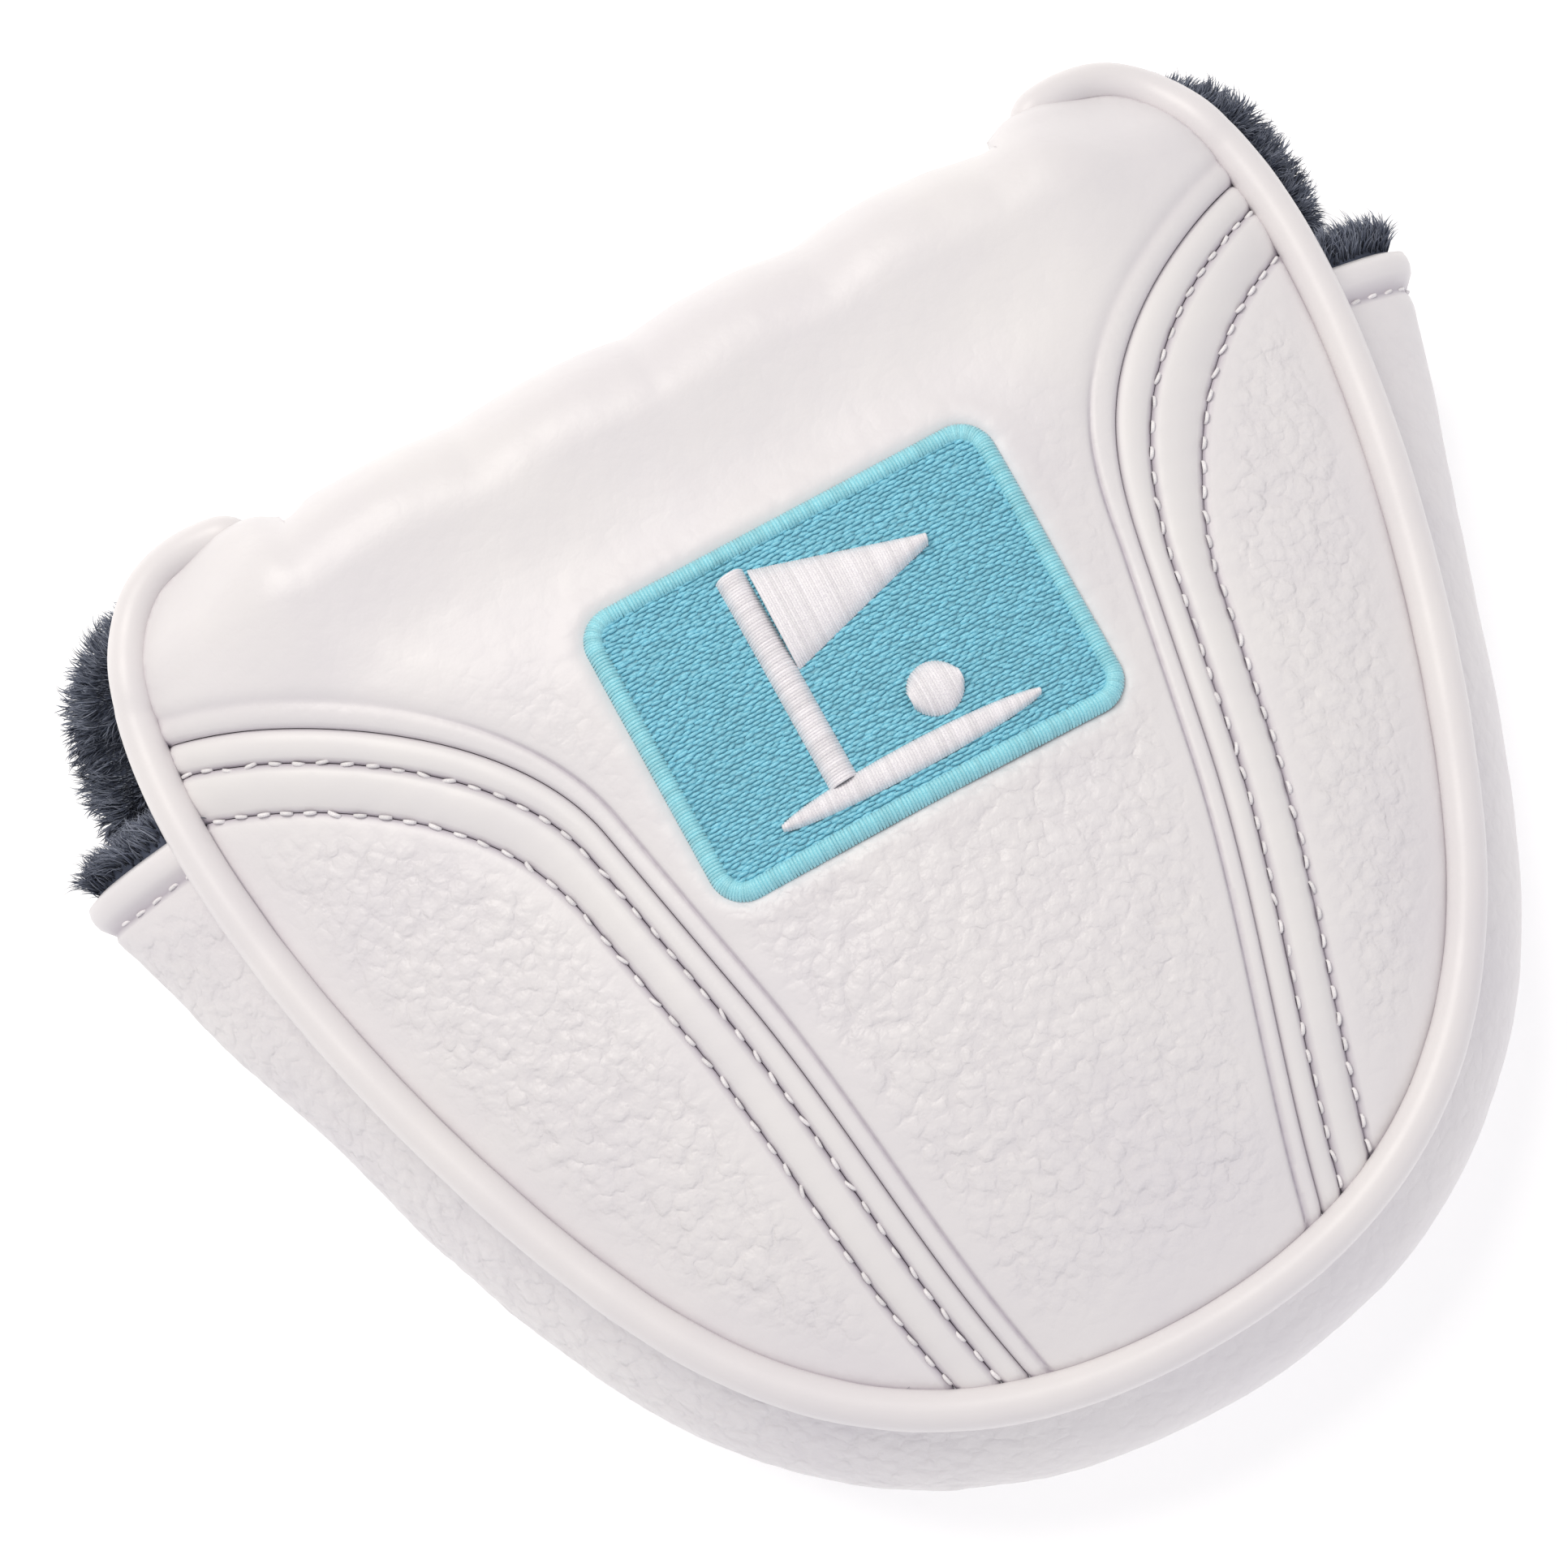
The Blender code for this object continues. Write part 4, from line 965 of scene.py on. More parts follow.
def rear_relief(plan):
    x, y = plan.T
    seam = distance(np.stack([np.abs(x), y], 1), SEAM)
    hem = MOUTH_Y - y
    grain = 0.9 * ease(seam, 2.0, 9.0) * ease(hem, 4.5, 7.0)
    height = seam_roll(seam, 2.4, 1.2) + seam_roll(hem, 0.8, 0.9) + 0.7 * waviness(x, y)
    height = height + 0.12 * grain * pebbles(x, y, 3.8, 9) - 0.25 * groove_at(hem - HEM_ROW, 0.45)
    height = np.minimum(height, 0.0)
    # Painted shade along the seam and, fainter, in the hem's stitch row.
    groove = 0.8 * groove_at(seam, 0.6) + 0.35 * groove_at(hem - HEM_ROW, 0.4)
    return height, {"grain": grain, "groove": np.clip(groove, 0, 1) * 0.85}


finish(leather_panel("rear_outer_leather", rear_sheet, rear_outline(0.3, MOUTH_Y), 1.1, rear_relief,
                     GRAINED, facing=-1.0),
       "grained_leather", "rear_panel", body="pouch", pad=0.4)

# ---------------------------------------------------------------- welts


def welt(name, half, sheet, facing, depth, end_x, *nodes, body, size=2.12):
    middle_y = half[len(half) // 2, 1]
    right = half[(half[:, 0] > end_x) | (half[:, 1] < middle_y)]
    plan = resample(np.vstack([right[::-1] * (-1, 1), right[1:]]), 1.0)
    base, normal = place(sheet, plan, facing)
    out = outward(plan)
    path = base - normal * depth(plan[:, 0], plan[:, 1])[:, None]
    path[:, :2] += out * (4.2 - size)
    path[:, 2] += 0.12 * noise(plan[:, 0], plan[:, 1], 9.0, 41)
    radius = size + 0.05 * noise(plan[:, 0], plan[:, 1], 4.0, 42)
    radius[:4] *= (0.55, 0.8, 0.93, 0.98)
    radius[-4:] *= (0.98, 0.93, 0.8, 0.55)
    points, faces = tube(path, radius, 22)
    made = new_object(name, points, faces, PIPED, grain=np.full(len(points), 0.18),
                      groove=np.zeros(len(points)))
    return finish(made, "piping_leather", *nodes, body=body)


welt("front_piping", resample(SEAM_HALF, 0.8), front_sheet, 1.0, lambda x, y: 0.5 + 0.9 * at_neck(x, y),
     SPINE_HALF + 4.8, "front_welt", body="pouch", size=2.3)
welt("flap_piping", flap_edge(), flap_sheet, -1.0, lambda x, y: np.maximum(0.8, 2.15 - flap_height(x, y)),
     SPINE_HALF + 3.6, "flap_welt", body="flap")
for side_name, side in (("left", -1), ("right", 1)):
    z = np.linspace(UPPER_Z + 0.5, LOWER_Z - 0.5, 30)
    path = np.stack([np.full(30, side * (SPINE_HALF + 2.2)), np.full(30, BEND_Y + BEND_R - 0.6), z], 1)
    radius = np.full(30, 2.1)
    radius[:3] *= (0.55, 0.8, 0.95)
    radius[-3:] *= (0.95, 0.8, 0.55)
    points, faces = tube(path, radius, 20, flat=(0, 1, 0))
    made = new_object(f"{side_name}_spine_piping", points, faces, PIPED, grain=np.full(len(points), 0.18),
                      groove=np.zeros(len(points)))
    finish(made, "piping_leather", f"{side_name}_spine_welt", body="spine")

# ---------------------------------------------------------------- side wall


def wall_bulge(y):
    full = float(ease(42.0, FLARE_FROM_Y, 52.0))
    flare = HEM_FLARE * ease(y, FLARE_FROM_Y, 52.0) / full
    return WALL_BULGE + flare


def wall_points(plan, out, share, depth):
    """Points of the wall at stations (rows) and shares of its height (columns), below its face."""
    x, y = plan[:, 0][:, None], plan[:, 1][:, None]
    bottom = rear_height(x, y) + 1.4

    def profile(t):
        t = np.clip(t, 0.0, 1.0)[None, :]
        return WALL_OUT + wall_bulge(y) * np.sin(math.pi * t), mix(WALL_TOP_Z, bottom, t)

    n, z = profile(share)
    ahead, behind = profile(share + 0.01), profile(share - 0.01)
    dn, dz = ahead[0] - behind[0], ahead[1] - behind[1]
    size = np.hypot(dn, dz)
    n, z = n + dz / size * depth, z - dn / size * depth
    return np.stack([x + out[:, 0][:, None] * n, y + out[:, 1][:, None] * n, z], -1)


def wall_plan(left_y, right_y, pitch):
    right = SEAM[SEAM[:, 1] <= right_y]
    left = SEAM[SEAM[:, 1] <= left_y] * (-1, 1)
    plan = resample(np.vstack([left[::-1], right[1:]]), pitch)
    out = outward(plan)
    for side, at in ((-1, plan[:, 0] < 0), (1, plan[:, 0] > 0)):
        turn = ease(plan[:, 1], 20.0, 40.0)[:, None] * at[:, None]
        out = out * (1 - turn) + np.array((float(side), 0.0)) * turn
    return plan, out / np.linalg.norm(out, axis=1)[:, None]


def grid_faces(rows, columns, shift=0, flip=False):
    faces = []
    for i in range(rows - 1):
        for j in range(columns - 1):
            a = shift + i * columns + j
            face = (a, a + 1, a + columns + 1, a + columns)
            faces.append(face[::-1] if flip else face)
    return faces


def shell(outer, inner):
    """A closed wall from two grids of the same size."""
    rows, columns = outer.shape[:2]
    points = np.vstack([outer.reshape(-1, 3), inner.reshape(-1, 3)])
    shift = rows * columns
    faces = grid_faces(rows, columns) + grid_faces(rows, columns, shift, True)
    edge = [i * columns for i in range(rows)] + [(rows - 1) * columns + j for j in range(1, columns)]
    edge += [i * columns + columns - 1 for i in range(rows - 2, -1, -1)] + list(range(columns - 2, 0, -1))
    for a, b in zip(edge, edge[1:] + edge[:1]):
        faces.append((b, a, a + shift, b + shift)[::-1])
    return points, faces


WALL_LEFT_Y, WALL_RIGHT_Y = 44.0, 39.6
wall_line, wall_out = wall_plan(WALL_LEFT_Y, WALL_RIGHT_Y, 0.8)
wall_run = np.arange(len(wall_line)) * 0.8
from_hem = np.minimum(wall_run, wall_run[-1] - wall_run)[:, None]
wall_share = np.linspace(0.0, 1.0, 52)
around = np.repeat(wall_run[:, None], len(wall_share), 1)
down = np.repeat(wall_share[None, :] * 34.0, len(wall_line), 0)
left_side = ease(-wall_line[:, 0], 5.0, 40.0)[:, None]
wall_grain = (0.35 + 0.65 * left_side) * ease(from_hem, 4.5, 9.0) * np.ones_like(down)
wrinkle = 0.55 * noise(around, down * 0.35, 9.0, 51) + 0.25 * noise(around, down * 0.6, 4.0, 52)
hem = 0.95 * np.sin(math.pi * np.clip(from_hem / HEM_WIDTH, 0, 1)) ** 0.6
hem = hem - 0.45 * groove_at(from_hem - 4.6, 0.7)
hem = hem + 0.35 * noise(down, around * 0.5, 2.4, 53) * groove_at(from_hem - 5.6, 1.6)
hem = hem + seam_roll(from_hem, 0.7, 0.9)
wall_relief = 0.42 * wrinkle + hem + 0.20 * wall_grain * pebbles(around, down, 3.4, 11)
wall_outer = wall_points(wall_line, wall_out, wall_share, -wall_relief)
wall_inner = wall_points(wall_line, wall_out, wall_share, LEATHER_THICKNESS)
points, faces = shell(wall_outer, wall_inner)
wall_size = around.size
# Painted shade in the hem's stitch line.
hem_line_shade = np.clip(0.7 * groove_at(from_hem - 4.6, 0.6) * np.ones_like(down), 0, 1)
made = new_object("gusset_outer_leather", points, faces, GRAINED,
                  grain=np.concatenate([wall_grain.ravel(), np.zeros(wall_size)]),
                  groove=np.concatenate([hem_line_shade.ravel(), np.zeros(wall_size)]))
finish(made, "grained_leather", "gusset_leather", body="pouch", pad=0.5)

# ---------------------------------------------------------------- threads


def threads(ends_a, ends_b, normals, rise, radius, steps=6, sections=5, seed=0, arch=4.0):
    """Satin threads between two rows of points, arched along the normals; with a tint each."""
    rng = np.random.RandomState(SEED + 100 + seed)
    u = np.linspace(0.0, 1.0, steps)
    count = len(ends_a)
    lift = 1.0 - np.abs(2 * u - 1) ** arch
    path = ends_a[:, None] * (1 - u[None, :, None]) + ends_b[:, None] * u[None, :, None]
    rise = np.broadcast_to(np.asarray(rise, float), (count,))
    path = path + normals[:, None] * (lift[None, :, None] * rise[:, None, None])
    run = ends_b - ends_a
    run /= np.linalg.norm(run, axis=1)[:, None] + 1e-9
    side = np.cross(run, normals)
    turn = np.arange(sections) * math.tau / sections
    size = radius * (0.9 + 0.2 * rng.rand(count))
    taper = 0.55 + 0.45 * np.sin(math.pi * np.clip(u * 0.9 + 0.05, 0, 1)) ** 0.5
    ring = (side[:, None, None] * np.cos(turn)[None, None, :, None]
            + normals[:, None, None] * np.sin(turn)[None, None, :, None])
    points = path[:, :, None] + ring * (size[:, None, None, None] * taper[None, :, None, None])
    points = points.reshape(-1, 3)
    faces = []
    block = steps * sections
    for t in range(count):
        s = t * block
        for i in range(steps - 1):
            for k in range(sections):
                m = (k + 1) % sections
                faces.append((s + i * sections + k, s + i * sections + m,
                              s + (i + 1) * sections + m, s + (i + 1) * sections + k))
        faces.append(tuple(s + k for k in reversed(range(sections))))
        faces.append(tuple(s + block - sections + k for k in range(sections)))
    tint = np.repeat((rng.rand(count) - 0.5) * 0.16, block)
    return points, faces, tint


def thread_object(name, bundles, material, slot, *nodes, body="pouch"):
    points, faces = merged([(p, f) for p, f, _ in bundles])
    tint = np.concatenate([t for _, _, t in bundles])
    return finish(new_object(name, points, faces, material, tint=tint), slot, *nodes, body=body)


def on_front(plan, height):
    base, normal = place(front_sheet, plan)
    return base + normal * height, normal


def stitch_row(base, normal, sunk, pitch=2.9, length=1.5, radius=0.24, seed=0):
    """Short raised stitches along a 3-D line, each a little out of true."""
    run = np.concatenate([[0.0], np.cumsum(np.linalg.norm(np.diff(base, axis=0), axis=1))])
    rng = np.random.RandomState(SEED + 500 + seed)
    starts = np.arange(0.8, run[-1] - length - 0.4, pitch)
    starts = starts + 0.25 * (rng.rand(len(starts)) - 0.5)

    def at(s, values):
        return np.stack([np.interp(s, run, values[:, k]) for k in range(3)], 1)

    a, b, n = at(starts, base), at(starts + length, base), at(starts + length / 2, normal)
    n /= np.linalg.norm(n, axis=1)[:, None]
    side = np.cross(b - a, n)
    side /= np.linalg.norm(side, axis=1)[:, None]
    a = a - n * sunk + side * (0.12 * rng.randn(len(a)))[:, None]
    b = b - n * sunk + side * (0.12 * rng.randn(len(b)))[:, None]
    return threads(a, b, n, 0.36, radius, 6, 6, seed)


bundles = []
for side in (-1, 1):
    for line, seed in ((1, 1), (2, 2)):
        plan = placed(resample(LINE[line], 0.6), side, True)
        plan = plan[inside(FRONT_IN, plan)]
        base, normal = place(front_sheet, plan)
        bundles.append(stitch_row(base, normal, 0.76, seed=seed + side))
thread_object("front_topstitching", bundles, STITCH_WHITE, "white_thread")

bundles = []
for row, seed in ((6, 5), (len(wall_line) - 7, 6)):
    line = wall_points(wall_line[row:row + 1], wall_out[row:row + 1], np.linspace(0.02, 0.98, 60), 0.0)[0]
    away = wall_points(wall_line[row:row + 1], wall_out[row:row + 1], np.linspace(0.02, 0.98, 60), -1.0)[0]
    bundles.append(stitch_row(line, away - line, 0.5, seed=seed))
plan = resample(np.array([(-62.0, MOUTH_Y - HEM_ROW), (62.0, MOUTH_Y - HEM_ROW)]), 1.0)
base, normal = place(rear_sheet, plan, -1.0)
bundles.append(stitch_row(base, normal, 0.30, seed=7))
thread_object("hem_stitching", bundles, STITCH_WHITE, "white_thread")

inner = flap_edge()
inner = inner - HEM_ROW * outward(inner)
inner = inner[(distance(inner, FLAP_LINE) > 4.0) & (inner[:, 1] < 58.0)]
inner = np.vstack([inner[::-1] * (-1, 1), inner])
base, normal = place(flap_sheet, inner, -1.0)
thread_object("flap_stitching", [stitch_row(base, normal, 0.45, seed=8)], STITCH_WHITE, "white_thread",
              body="flap")

# The patch: fill, satin border and a raised satin motif.


def rounded(width, height, corner, pitch):
    """A rounded rectangle round the patch's middle, anticlockwise, with its outward directions."""
    loop = []
    for quarter, (sx, sy) in enumerate(((1, -1), (1, 1), (-1, 1), (-1, -1))):
        centre = np.array((PATCH_X + sx * (width / 2 - corner), PATCH_Y + sy * (height / 2 - corner)))
        angle = math.pi / 2 * (quarter - 1 + np.linspace(0, 1, 12))
        loop.append(centre + corner * np.stack([np.cos(angle), np.sin(angle)], 1))
    loop = np.vstack(loop + [loop[0][:1]])
    return resample(loop, pitch)[:-1]


FILL_TOP = 0.95
base_outline = rounded(PATCH_W - 2.6, PATCH_H - 2.6, 2.8, 0.9)
# The base under the fill threads is drawn a quarter darker: painted shade in the gaps between the threads.
points, faces, values, _ = slab(front_sheet, base_outline, 1.3,
                             lambda p: (np.full(len(p), FILL_TOP - 0.16), {"tint": np.full(len(p), -0.25)}),
                             1.0, -0.25, ())
bundles = [(points, faces, values["tint"])]
rng = np.random.RandomState(SEED + 3)
row_a, row_b = [], []
for i, y in enumerate(np.arange(PATCH_Y - PATCH_H / 2 + 1.9, PATCH_Y + PATCH_H / 2 - 1.8, 0.45)):
    start = PATCH_X - PATCH_W / 2 + 1.7 + (i % 2) * 0.6 + 0.1 * rng.randn()
    xs = np.arange(start, PATCH_X + PATCH_W / 2 - 1.9, 1.2)
    wobble = 0.07 * rng.randn(len(xs), 4)
    row_a += [(x + w[0], y + w[1]) for x, w in zip(xs, wobble)]
    row_b += [(min(x + 1.3, PATCH_X + PATCH_W / 2 - 1.6) + w[2], y + w[3]) for x, w in zip(xs, wobble)]
row_a, row_b = np.array(row_a), np.array(row_b)
a, n = on_front(row_a, FILL_TOP - 0.14)
b, _ = on_front(row_b, FILL_TOP - 0.14)
bundles.append(threads(a, b, n, 0.13, 0.225, 4, 5, 11))
thread_object("patch_fill", bundles, FILL_BLUE, "patch_fill", "patch_base")

outer_loop = rounded(PATCH_W + 0.3, PATCH_H + 0.3, 4.1, 0.39)
inner_loop = outer_loop - 2.2 * outward(np.vstack([outer_loop[-1:], outer_loop, outer_loop[:1]]))[1:-1]
a, n = on_front(outer_loop, 0.35)
b, _ = on_front(inner_loop, 0.80)
core_mid, _ = on_front(0.5 * (outer_loop + inner_loop), 0.72)
core_ring = np.vstack([core_mid, core_mid[:1]])
core_points, core_faces = tube(core_ring, 0.72, 10)
# The cord under the border is drawn a fifth darker: painted shade beneath the satin threads.
bundles = [threads(a, b, n, 0.85, 0.235, 7, 6, 12, 2.6),
           (core_points, core_faces, np.full(len(core_points), -0.2))]
thread_object("patch_border_satin", bundles, BORDER_BLUE, "blue_thread", "patch_border")


def satin(low, high, pitch_count, height, rise, seed, radius=0.235):
    """Threads between two plan curves with equally many points."""
    low, high = np.asarray(low, float) + (PATCH_X, PATCH_Y), np.asarray(high, float) + (PATCH_X, PATCH_Y)
    low, high = resample_to(low, pitch_count), resample_to(high, pitch_count)
    a, n = on_front(low, height)
    b, _ = on_front(high, height)
    return threads(a, b, n, rise, radius, 9, 6, seed, 3.2)


def resample_to(points, count):
    step = np.linalg.norm(np.diff(points, axis=0), axis=1)
    run = np.concatenate([[0.0], np.cumsum(step)])
    at = np.linspace(0.0, run[-1], count)
    return np.stack([np.interp(at, run, points[:, k]) for k in range(points.shape[1])], 1)


pole_y = np.linspace(-11.8, 14.2, 66)
pole_a = np.stack([np.full(66, -9.3), pole_y], 1)
pole_b = np.stack([np.full(66, -5.9), pole_y + 0.25], 1)
flag_x = np.linspace(-5.7, 13.0, 49)
flag_low = np.stack([flag_x, mix(1.4, 7.0, (flag_x + 6.0) / 19.0)], 1)
flag_high = np.stack([flag_x + 0.3, mix(14.2, 8.4, (flag_x + 6.0) / 19.0)], 1)
ground_x = np.linspace(-15.6, 15.6, 80)
reach = 1.65 * np.sqrt(np.clip(1 - (ground_x / 16.2) ** 2, 0, 1))
ground_low = np.stack([ground_x, -13.0 - reach], 1)
ground_high = np.stack([ground_x + 0.2, -13.0 + reach], 1)
ball_x = np.linspace(-2.9, 2.9, 16)
reach = 3.1 * np.sqrt(np.clip(1 - (ball_x / 3.1) ** 2, 0, 1))
ball_low = np.stack([6.0 + ball_x, -7.4 - reach], 1)
ball_high = np.stack([6.0 + ball_x, -7.4 + reach], 1)
thread_object("patch_pennant_satin", [
    satin(pole_a, pole_b, 78, 1.0, 1.25, 21), satin(flag_low, flag_high, 66, 1.0, 1.35, 22),
    satin(ground_low, ground_high, 96, 1.0, 0.85, 23)], SATIN_WHITE, "white_thread", "patch_flag")
thread_object("patch_ball_satin", [satin(ball_low, ball_high, 24, 1.0, 1.3, 24)], SATIN_WHITE,
              "white_thread", "patch_ball")

# Embroidered diamonds on the face of the spine.
face_x = np.arange(-38.4, 38.5, 0.42)
phase = np.abs(((face_x / 5.5 + 1) % 2) - 1)
half_height = mix(6.5, 0.8, phase)
low = np.stack([face_x, np.full(len(face_x), 67.15), 23.0 - half_height], 1)
high = np.stack([face_x + 0.15, np.full(len(face_x), 67.15), 23.0 + half_height], 1)
out = np.tile((0.0, 1.0, 0.0), (len(face_x), 1))
thread_object("spine_embroidery_satin", [threads(low, high, out, 0.75, 0.24, 9, 6, 31, 3.0)], BORDER_BLUE,
              "blue_thread", "spine_embroidery", body="spine")

# ---------------------------------------------------------------- plush


def strands(roots, normals, length, seed, lean=0.55, root_radius=0.15, levels=4):
    """Tapered hairs that lean in clumps."""
    rng = np.random.RandomState(SEED + 900 + seed)
    count = len(roots)
    length = length * (0.65 + 0.6 * rng.rand(count))
    x, y, z = roots.T
    clump = np.stack([noise(x, y + z, 3.2, 61 + k) + 0.8 * noise(x + z, y, 1.1, 65 + k)
                      for k in range(3)], 1)
    tilt = clump * lean + rng.randn(count, 3) * 0.22
    tilt -= normals * (tilt * normals).sum(1)[:, None]
    side = np.cross(normals, rng.randn(count, 3))
    side /= np.linalg.norm(side, axis=1)[:, None]
    other = np.cross(normals, side)
    radius = root_radius * (0.7 + 0.6 * rng.rand(count))
    rings = []
    for i in range(levels):
        u = i / levels
        centre = roots + normals * (length * u)[:, None] + tilt * (length * u * u)[:, None]
        size = (radius * (1 - u) ** 0.7)[:, None]
        for k in range(3):
            angle = math.tau * k / 3
            rings.append(centre + (side * math.cos(angle) + other * math.sin(angle)) * size)
    rings.append(roots + normals * (length * 0.93)[:, None] + tilt * length[:, None])
    points = np.stack(rings, 1).reshape(-1, 3)
    block = levels * 3 + 1
    pattern = []
    for i in range(levels - 1):
        for k in range(3):
            m = (k + 1) % 3
            pattern.append((i * 3 + k, i * 3 + m, (i + 1) * 3 + m, (i + 1) * 3 + k))
    for k in range(3):
        pattern.append(((levels - 1) * 3 + k, (levels - 1) * 3 + (k + 1) % 3, block - 1))
    pattern.append((2, 1, 0))
    faces = [tuple(v + s * block for v in face) for s in range(count) for face in pattern]
    tip = np.tile(np.concatenate([np.repeat(np.arange(levels) / levels, 3), [1.0]]), count)
    return points, faces, np.clip(tip + np.repeat(0.25 * rng.randn(count), block), 0, 1.2)


def scatter(points, faces, density, seed):
    """Random roots on triangles: density(centres) gives how many a square millimetre takes."""
    rng = np.random.RandomState(SEED + 700 + seed)
    tri = np.array([f[:3] for f in faces])
    a, b, c = points[tri[:, 0]], points[tri[:, 1]], points[tri[:, 2]]
    cross = np.cross(b - a, c - a)
    area = np.linalg.norm(cross, axis=1) / 2
    expected = area * density((a + b + c) / 3)
    count = np.floor(expected + rng.rand(len(tri))).astype(int)
    pick = np.repeat(np.arange(len(tri)), count)
    u, v = rng.rand(len(pick)), rng.rand(len(pick))
    over = u + v > 1
    u[over], v[over] = 1 - u[over], 1 - v[over]
    roots = a[pick] + (b[pick] - a[pick]) * u[:, None] + (c[pick] - a[pick]) * v[:, None]
    normals = cross[pick] / (2 * area[pick])[:, None]
    return roots, normals


THIN = 1.0


def plush_sheet(name, sheet, outline, facing, depth, density, length, seed, outward_lean=None,
                root_radius=0.15):
    """A lining: a backing slab that closes over the foam at its edge, and pile on its inner face."""
    backing = depth - 2.2

    def relief(plan):
        x, y = plan.T
        return depth + 0.5 * noise(x, y, 3.0, 71) + 0.3 * noise(x, y, 1.6, 72), {
            "tip": 0.25 + 0.2 * noise(x, y, 4.0, 73)}

    points, faces, values, _ = slab(sheet, outline, 1.9, relief, -facing, -backing, (0.5,),
                                    edge_thickness=-1.3)
    pile_points = np.argmax(values["tip"] == 0.0)
    pile_faces = [f for f in faces if len(f) == 3 and max(f) < pile_points]
    rim_faces = [half for f in faces if len(f) == 4 for half in (f[:3], (f[0], f[2], f[3]))]
    upper = scatter(points, pile_faces, lambda c: density(c) * THIN, seed)
    beside = scatter(points, rim_faces, lambda c: density(c) * THIN, seed + 20)
    roots, normals = (np.vstack(pair) for pair in zip(upper, beside))
    if outward_lean is not None:
        normals = normals + outward_lean(roots)
        normals /= np.linalg.norm(normals, axis=1)[:, None]
    hair, hair_faces, tip = strands(roots - normals * 0.2, normals, length, seed, root_radius=root_radius)
    all_points, all_faces = merged([(points, faces), (hair, hair_faces)])
    return new_object(name, all_points, all_faces, PLUSH, tip=np.concatenate([values["tip"], tip]))


def front_lining_outline():
    half = SEAM_HALF - 2.6 * outward(SEAM_HALF)
    half = resample(half, 1.6)
    half[0] = (0.0, TIP_Y + 2.6)
    half = half[(half[:, 0] > MIDDLE_HALF - 0.6) | (half[:, 1] < 0.0)]
    half = half[half[:, 1] < 66.0]
    top = np.array([(MIDDLE_HALF - 0.9, SPLIT_Q)])
    across = resample(np.array([(MIDDLE_HALF - 0.9, SPLIT_Q), (0.0, SPLIT_Q)]), 1.6)[1:-1]
    return mirror_outline(np.vstack([half, top, across]))


finish(plush_sheet("front_plush", front_sheet, front_lining_outline(), 1.0, FRONT_LINING_IN,
                   lambda c: 0.10 + 0.55 * ease(c[:, 1], 30.0, 50.0), 3.4, 1),
       "plush", "front_lining", body="pouch")
finish(plush_sheet("rear_plush", rear_sheet, rear_outline(2.6, MOUTH_Y - 0.4), -1.0, THIN_LINING_IN,
                   lambda c: 0.10 + 0.9 * ease(c[:, 1], 28.0, 42.0), 3.4, 2,
                   lambda r: np.stack([0 * r[:, 0], 1.6 * ease(r[:, 1], 38.0, 43.5), 0 * r[:, 0]], 1)),
       "plush", "rear_lining", body="pouch")


def ear_out(roots):
    away = np.sign(roots[:, 0]) * ease(np.abs(roots[:, 0]), 66.0, 76.0)
    return np.stack([1.5 * away, 0.5 * ease(roots[:, 1], 60.0, 67.0), 0 * away], 1)


finish(plush_sheet("flap_plush", flap_sheet, flap_outline(PLUSH_EAR, PLUSH_TOP_Y, 0.9, SPLIT_Q, 9.0),
                   -1.0, THIN_LINING_IN,
                   lambda c: 0.22 + 11.0 * ease(np.abs(c[:, 0]), 62.0, 67.0), 2.6, 3, ear_out, 0.13),
       "plush", "flap_lining", body="flap")
for level, sheet, facing, seed, over_bend in (("upper", front_sheet, 1.0, 4, blend_front),
                                              ("lower", flap_sheet, -1.0, 5, blend_flap)):
    piece = plush_sheet(f"{level}_spine_plush", sheet, strip_outline(44.4, SPLIT_Q, MID_SPINE_Q, 1.6), facing,
                        FRONT_LINING_IN, lambda c: 0.5 + 0 * c[:, 0], 3.2, seed)
    finish(over_bend(piece), "plush", "spine_lining")

PAST_HEM = 2.4                # how far the plush stands out of the wall's two ends
lining_line, lining_out = wall_plan(WALL_LEFT_Y + PAST_HEM, WALL_RIGHT_Y + PAST_HEM, 1.2)
LINING_ROWS = 30
lining_share = np.linspace(0.08, 0.9, LINING_ROWS)
lining_y = np.repeat(lining_line[:, 1][:, None], LINING_ROWS, 1)
lumps = 0.5 * noise(lining_y * 1.3 + lining_line[:, 0][:, None], np.arange(LINING_ROWS)[None] * 1.2, 3.0, 81)


def hem_y(x):
    return np.where(x < 0, WALL_LEFT_Y, WALL_RIGHT_Y)


at_end = ease(lining_line[:, 1] - hem_y(lining_line[:, 0]), -4.0, -0.8)[:, None]
face = wall_points(lining_line, lining_out, lining_share, THIN_LINING_IN + lumps)
back = wall_points(lining_line, lining_out, lining_share, mix(3.4, 1.3, at_end))
points, faces = shell(back, face)
shift = face.shape[0] * face.shape[1]
pile = grid_faces(face.shape[0], LINING_ROWS, shift, True)
known = {frozenset(f) for f in pile}
rim = [f for f in faces if frozenset(f) not in known]


def halved(quads):
    return [half for f in quads for half in ((f[0], f[1], f[2]), (f[0], f[2], f[3]))]


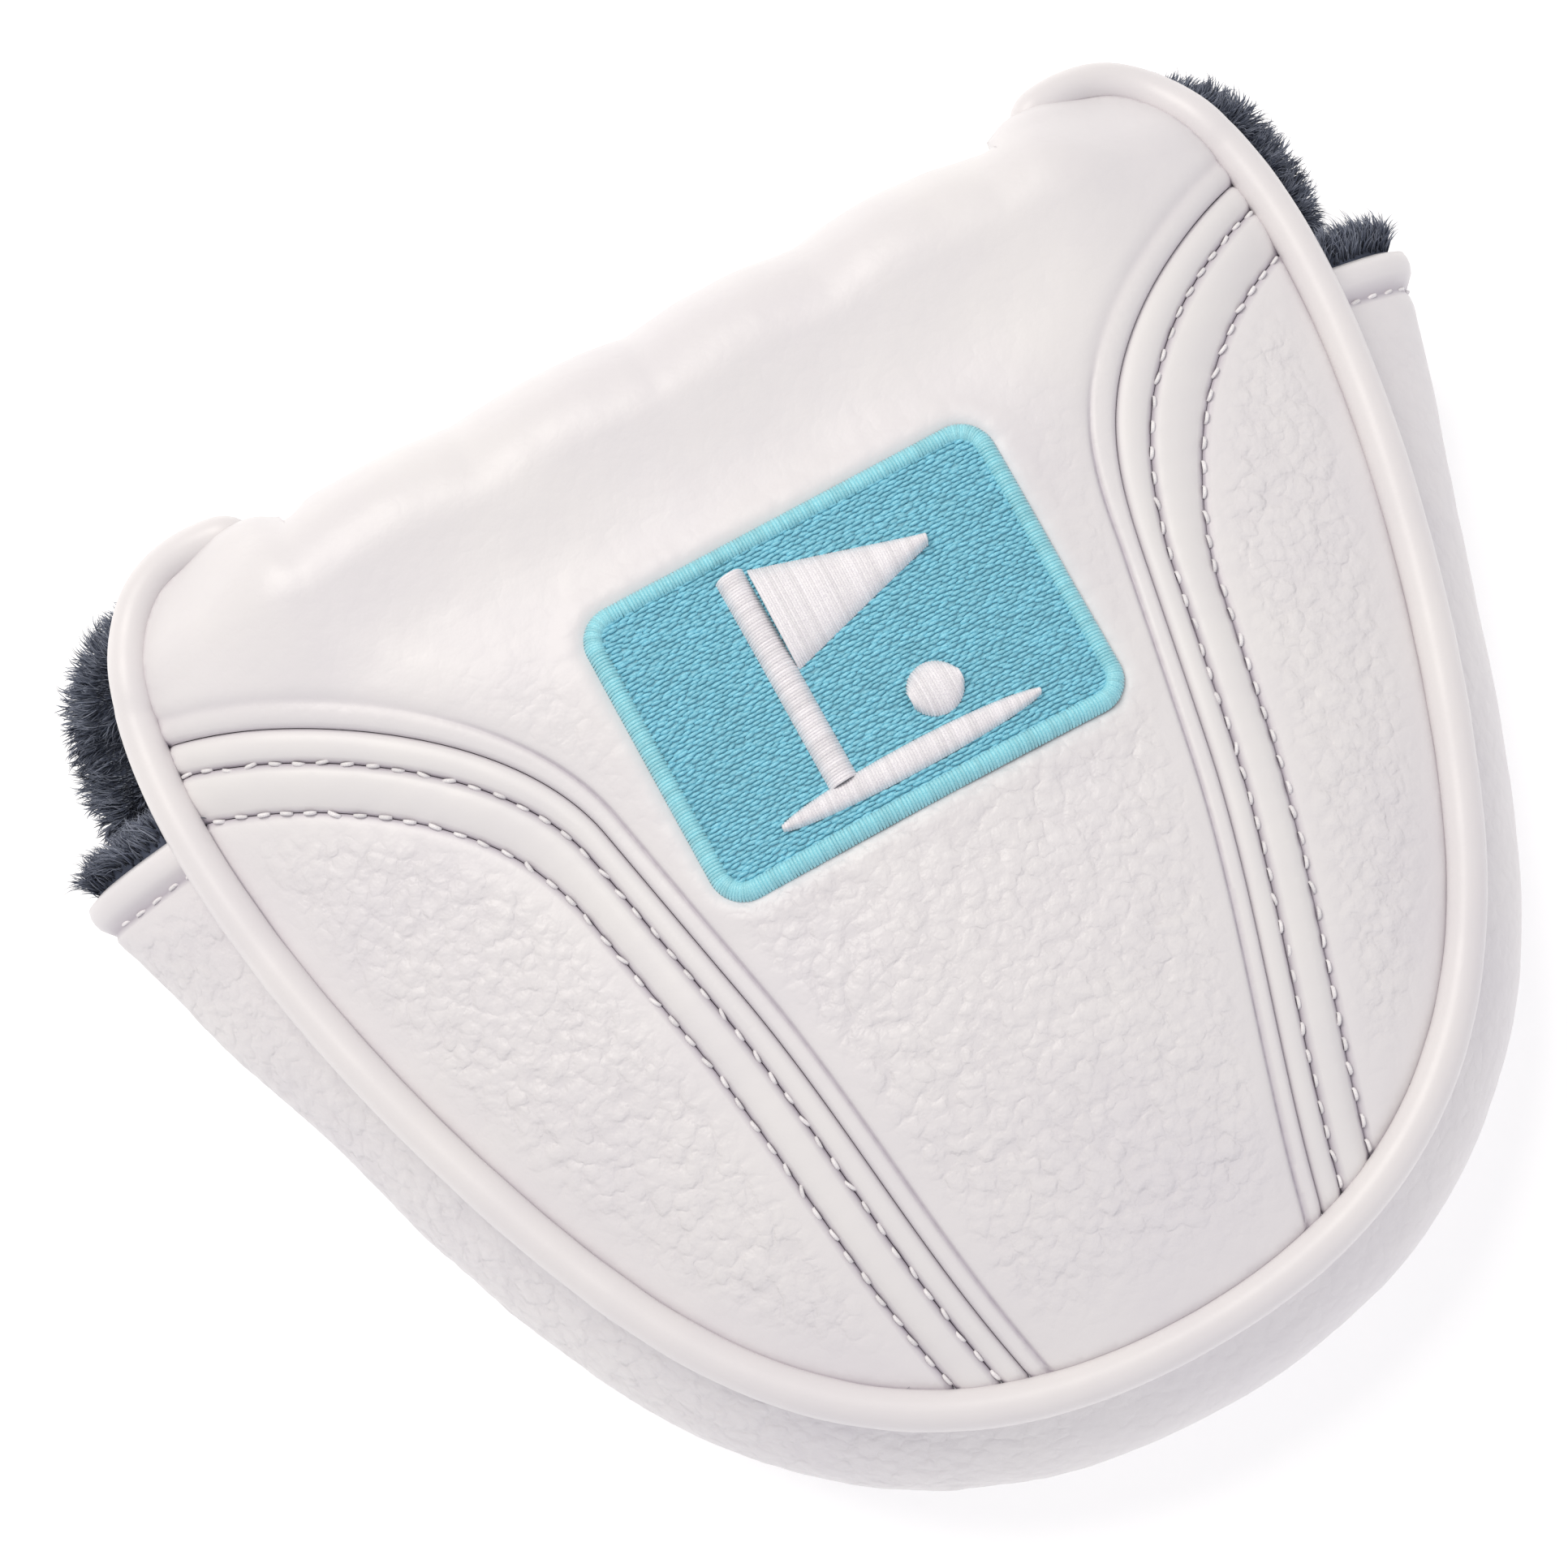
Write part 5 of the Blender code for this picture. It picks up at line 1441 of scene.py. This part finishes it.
inner_roots = scatter(points, halved(pile), lambda c: THIN * (0.12 + 9.0 * ease(
    c[:, 1] - hem_y(c[:, 0]), -8.0, -2.0)), 6)
rim_roots = scatter(points, halved(rim), lambda c: THIN * 11.0 * ease(
    c[:, 1] - hem_y(c[:, 0]), 0.1, 0.6), 7)
roots, normals = (np.vstack(pair) for pair in zip(inner_roots, rim_roots))
spill = ease(roots[:, 1] - hem_y(roots[:, 0]), -8.0, 0.0)
normals = normals + np.stack([0.2 * np.sign(roots[:, 0]) * spill, 1.3 * spill, 0.2 * spill], 1)
normals /= np.linalg.norm(normals, axis=1)[:, None]
hair, hair_faces, tip = strands(roots, normals, 2.7, 6, root_radius=0.13)
all_points, all_faces = merged([(points, faces), (hair, hair_faces)])
made = new_object("gusset_plush", all_points, all_faces, PLUSH,
                  tip=np.concatenate([np.full(len(points), 0.3), tip]))
finish(made, "plush", "gusset_lining", body="pouch")

# ---------------------------------------------------------------- solids that stay

KEPT = {"foam": FOAM, "cord": COTTON, "magnet": STEEL}
for name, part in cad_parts.items():
    for ending, material in KEPT.items():
        if name.endswith(ending):
            part.data.materials.clear()
            part.data.materials.append(material)

# ---------------------------------------------------------------- floor, light and camera

floor_data = bpy.data.meshes.new("floor")
floor_data.from_pydata([(-3, -3, -0.0005), (3, -3, -0.0005), (3, 3, -0.0005), (-3, 3, -0.0005)], [],
                       [(0, 1, 2, 3)])
floor = bpy.data.objects.new("floor", floor_data)
bpy.context.scene.collection.objects.link(floor)
floor_material, _, floor_surface = shader("pale_floor", Roughness=0.9, Specular_IOR_Level=0.1)
floor_surface.inputs["Base Color"].default_value = (0.93, 0.93, 0.93, 1.0)
floor_surface.inputs["Emission Color"].default_value = (1.0, 1.0, 1.0, 1.0)
floor_surface.inputs["Emission Strength"].default_value = 0.35
floor_data.materials.append(floor_material)


def area_light(name, energy, size, colour, at, target=(0.0, 0.0, 0.03)):
    data = bpy.data.lights.new(name, "AREA")
    data.shape = "DISK"
    data.energy, data.size, data.color = energy, size, colour
    light = bpy.data.objects.new(name, data)
    bpy.context.scene.collection.objects.link(light)
    light.location = at
    light.rotation_euler = (Vector(target) - Vector(at)).to_track_quat("-Z", "Y").to_euler()


area_light("key", 7.0, 0.7, (1.0, 0.955, 0.89), (-0.22, 0.6, 1.0))
area_light("fill", 1.7, 1.2, (0.90, 0.87, 1.0), (0.3, -0.9, 0.6))

world = bpy.data.worlds.new("studio")
bpy.context.scene.world = world
world.use_nodes = True
world.node_tree.nodes["Background"].inputs["Color"].default_value = (1.0, 0.99, 1.0, 1.0)
world.node_tree.nodes["Background"].inputs["Strength"].default_value = 0.54

IMAGE_SIDE = 1932.0           # the picture's side; the next two are in the same unit
FOCAL_LENGTH = 4000.0
SHIFT_X, SHIFT_Y = -165.0, 94.0
SENSOR = 36.0
AIM = np.array((-0.0016, -0.0024, 0.038))
azimuth, elevation, range_ = math.radians(-28.9), math.radians(80.0), 0.360
camera_data = bpy.data.cameras.new("camera")
camera = bpy.data.objects.new("camera", camera_data)
bpy.context.scene.collection.objects.link(camera)
offset = np.array((math.sin(azimuth) * math.cos(elevation), -math.cos(azimuth) * math.cos(elevation),
                   math.sin(elevation))) * range_
camera.location = AIM + offset
camera.rotation_euler = Vector(-offset).to_track_quat("-Z", "Y").to_euler()
camera_data.sensor_width = SENSOR
camera_data.lens = SENSOR * FOCAL_LENGTH / IMAGE_SIDE
camera_data.shift_x = SHIFT_X / IMAGE_SIDE
camera_data.shift_y = SHIFT_Y / IMAGE_SIDE
camera_data.clip_start = 0.01
bpy.context.scene.camera = camera
bpy.context.scene.view_settings.view_transform = "Standard"
bpy.context.scene.view_settings.look = "None"

bpy.context.view_layer.update()
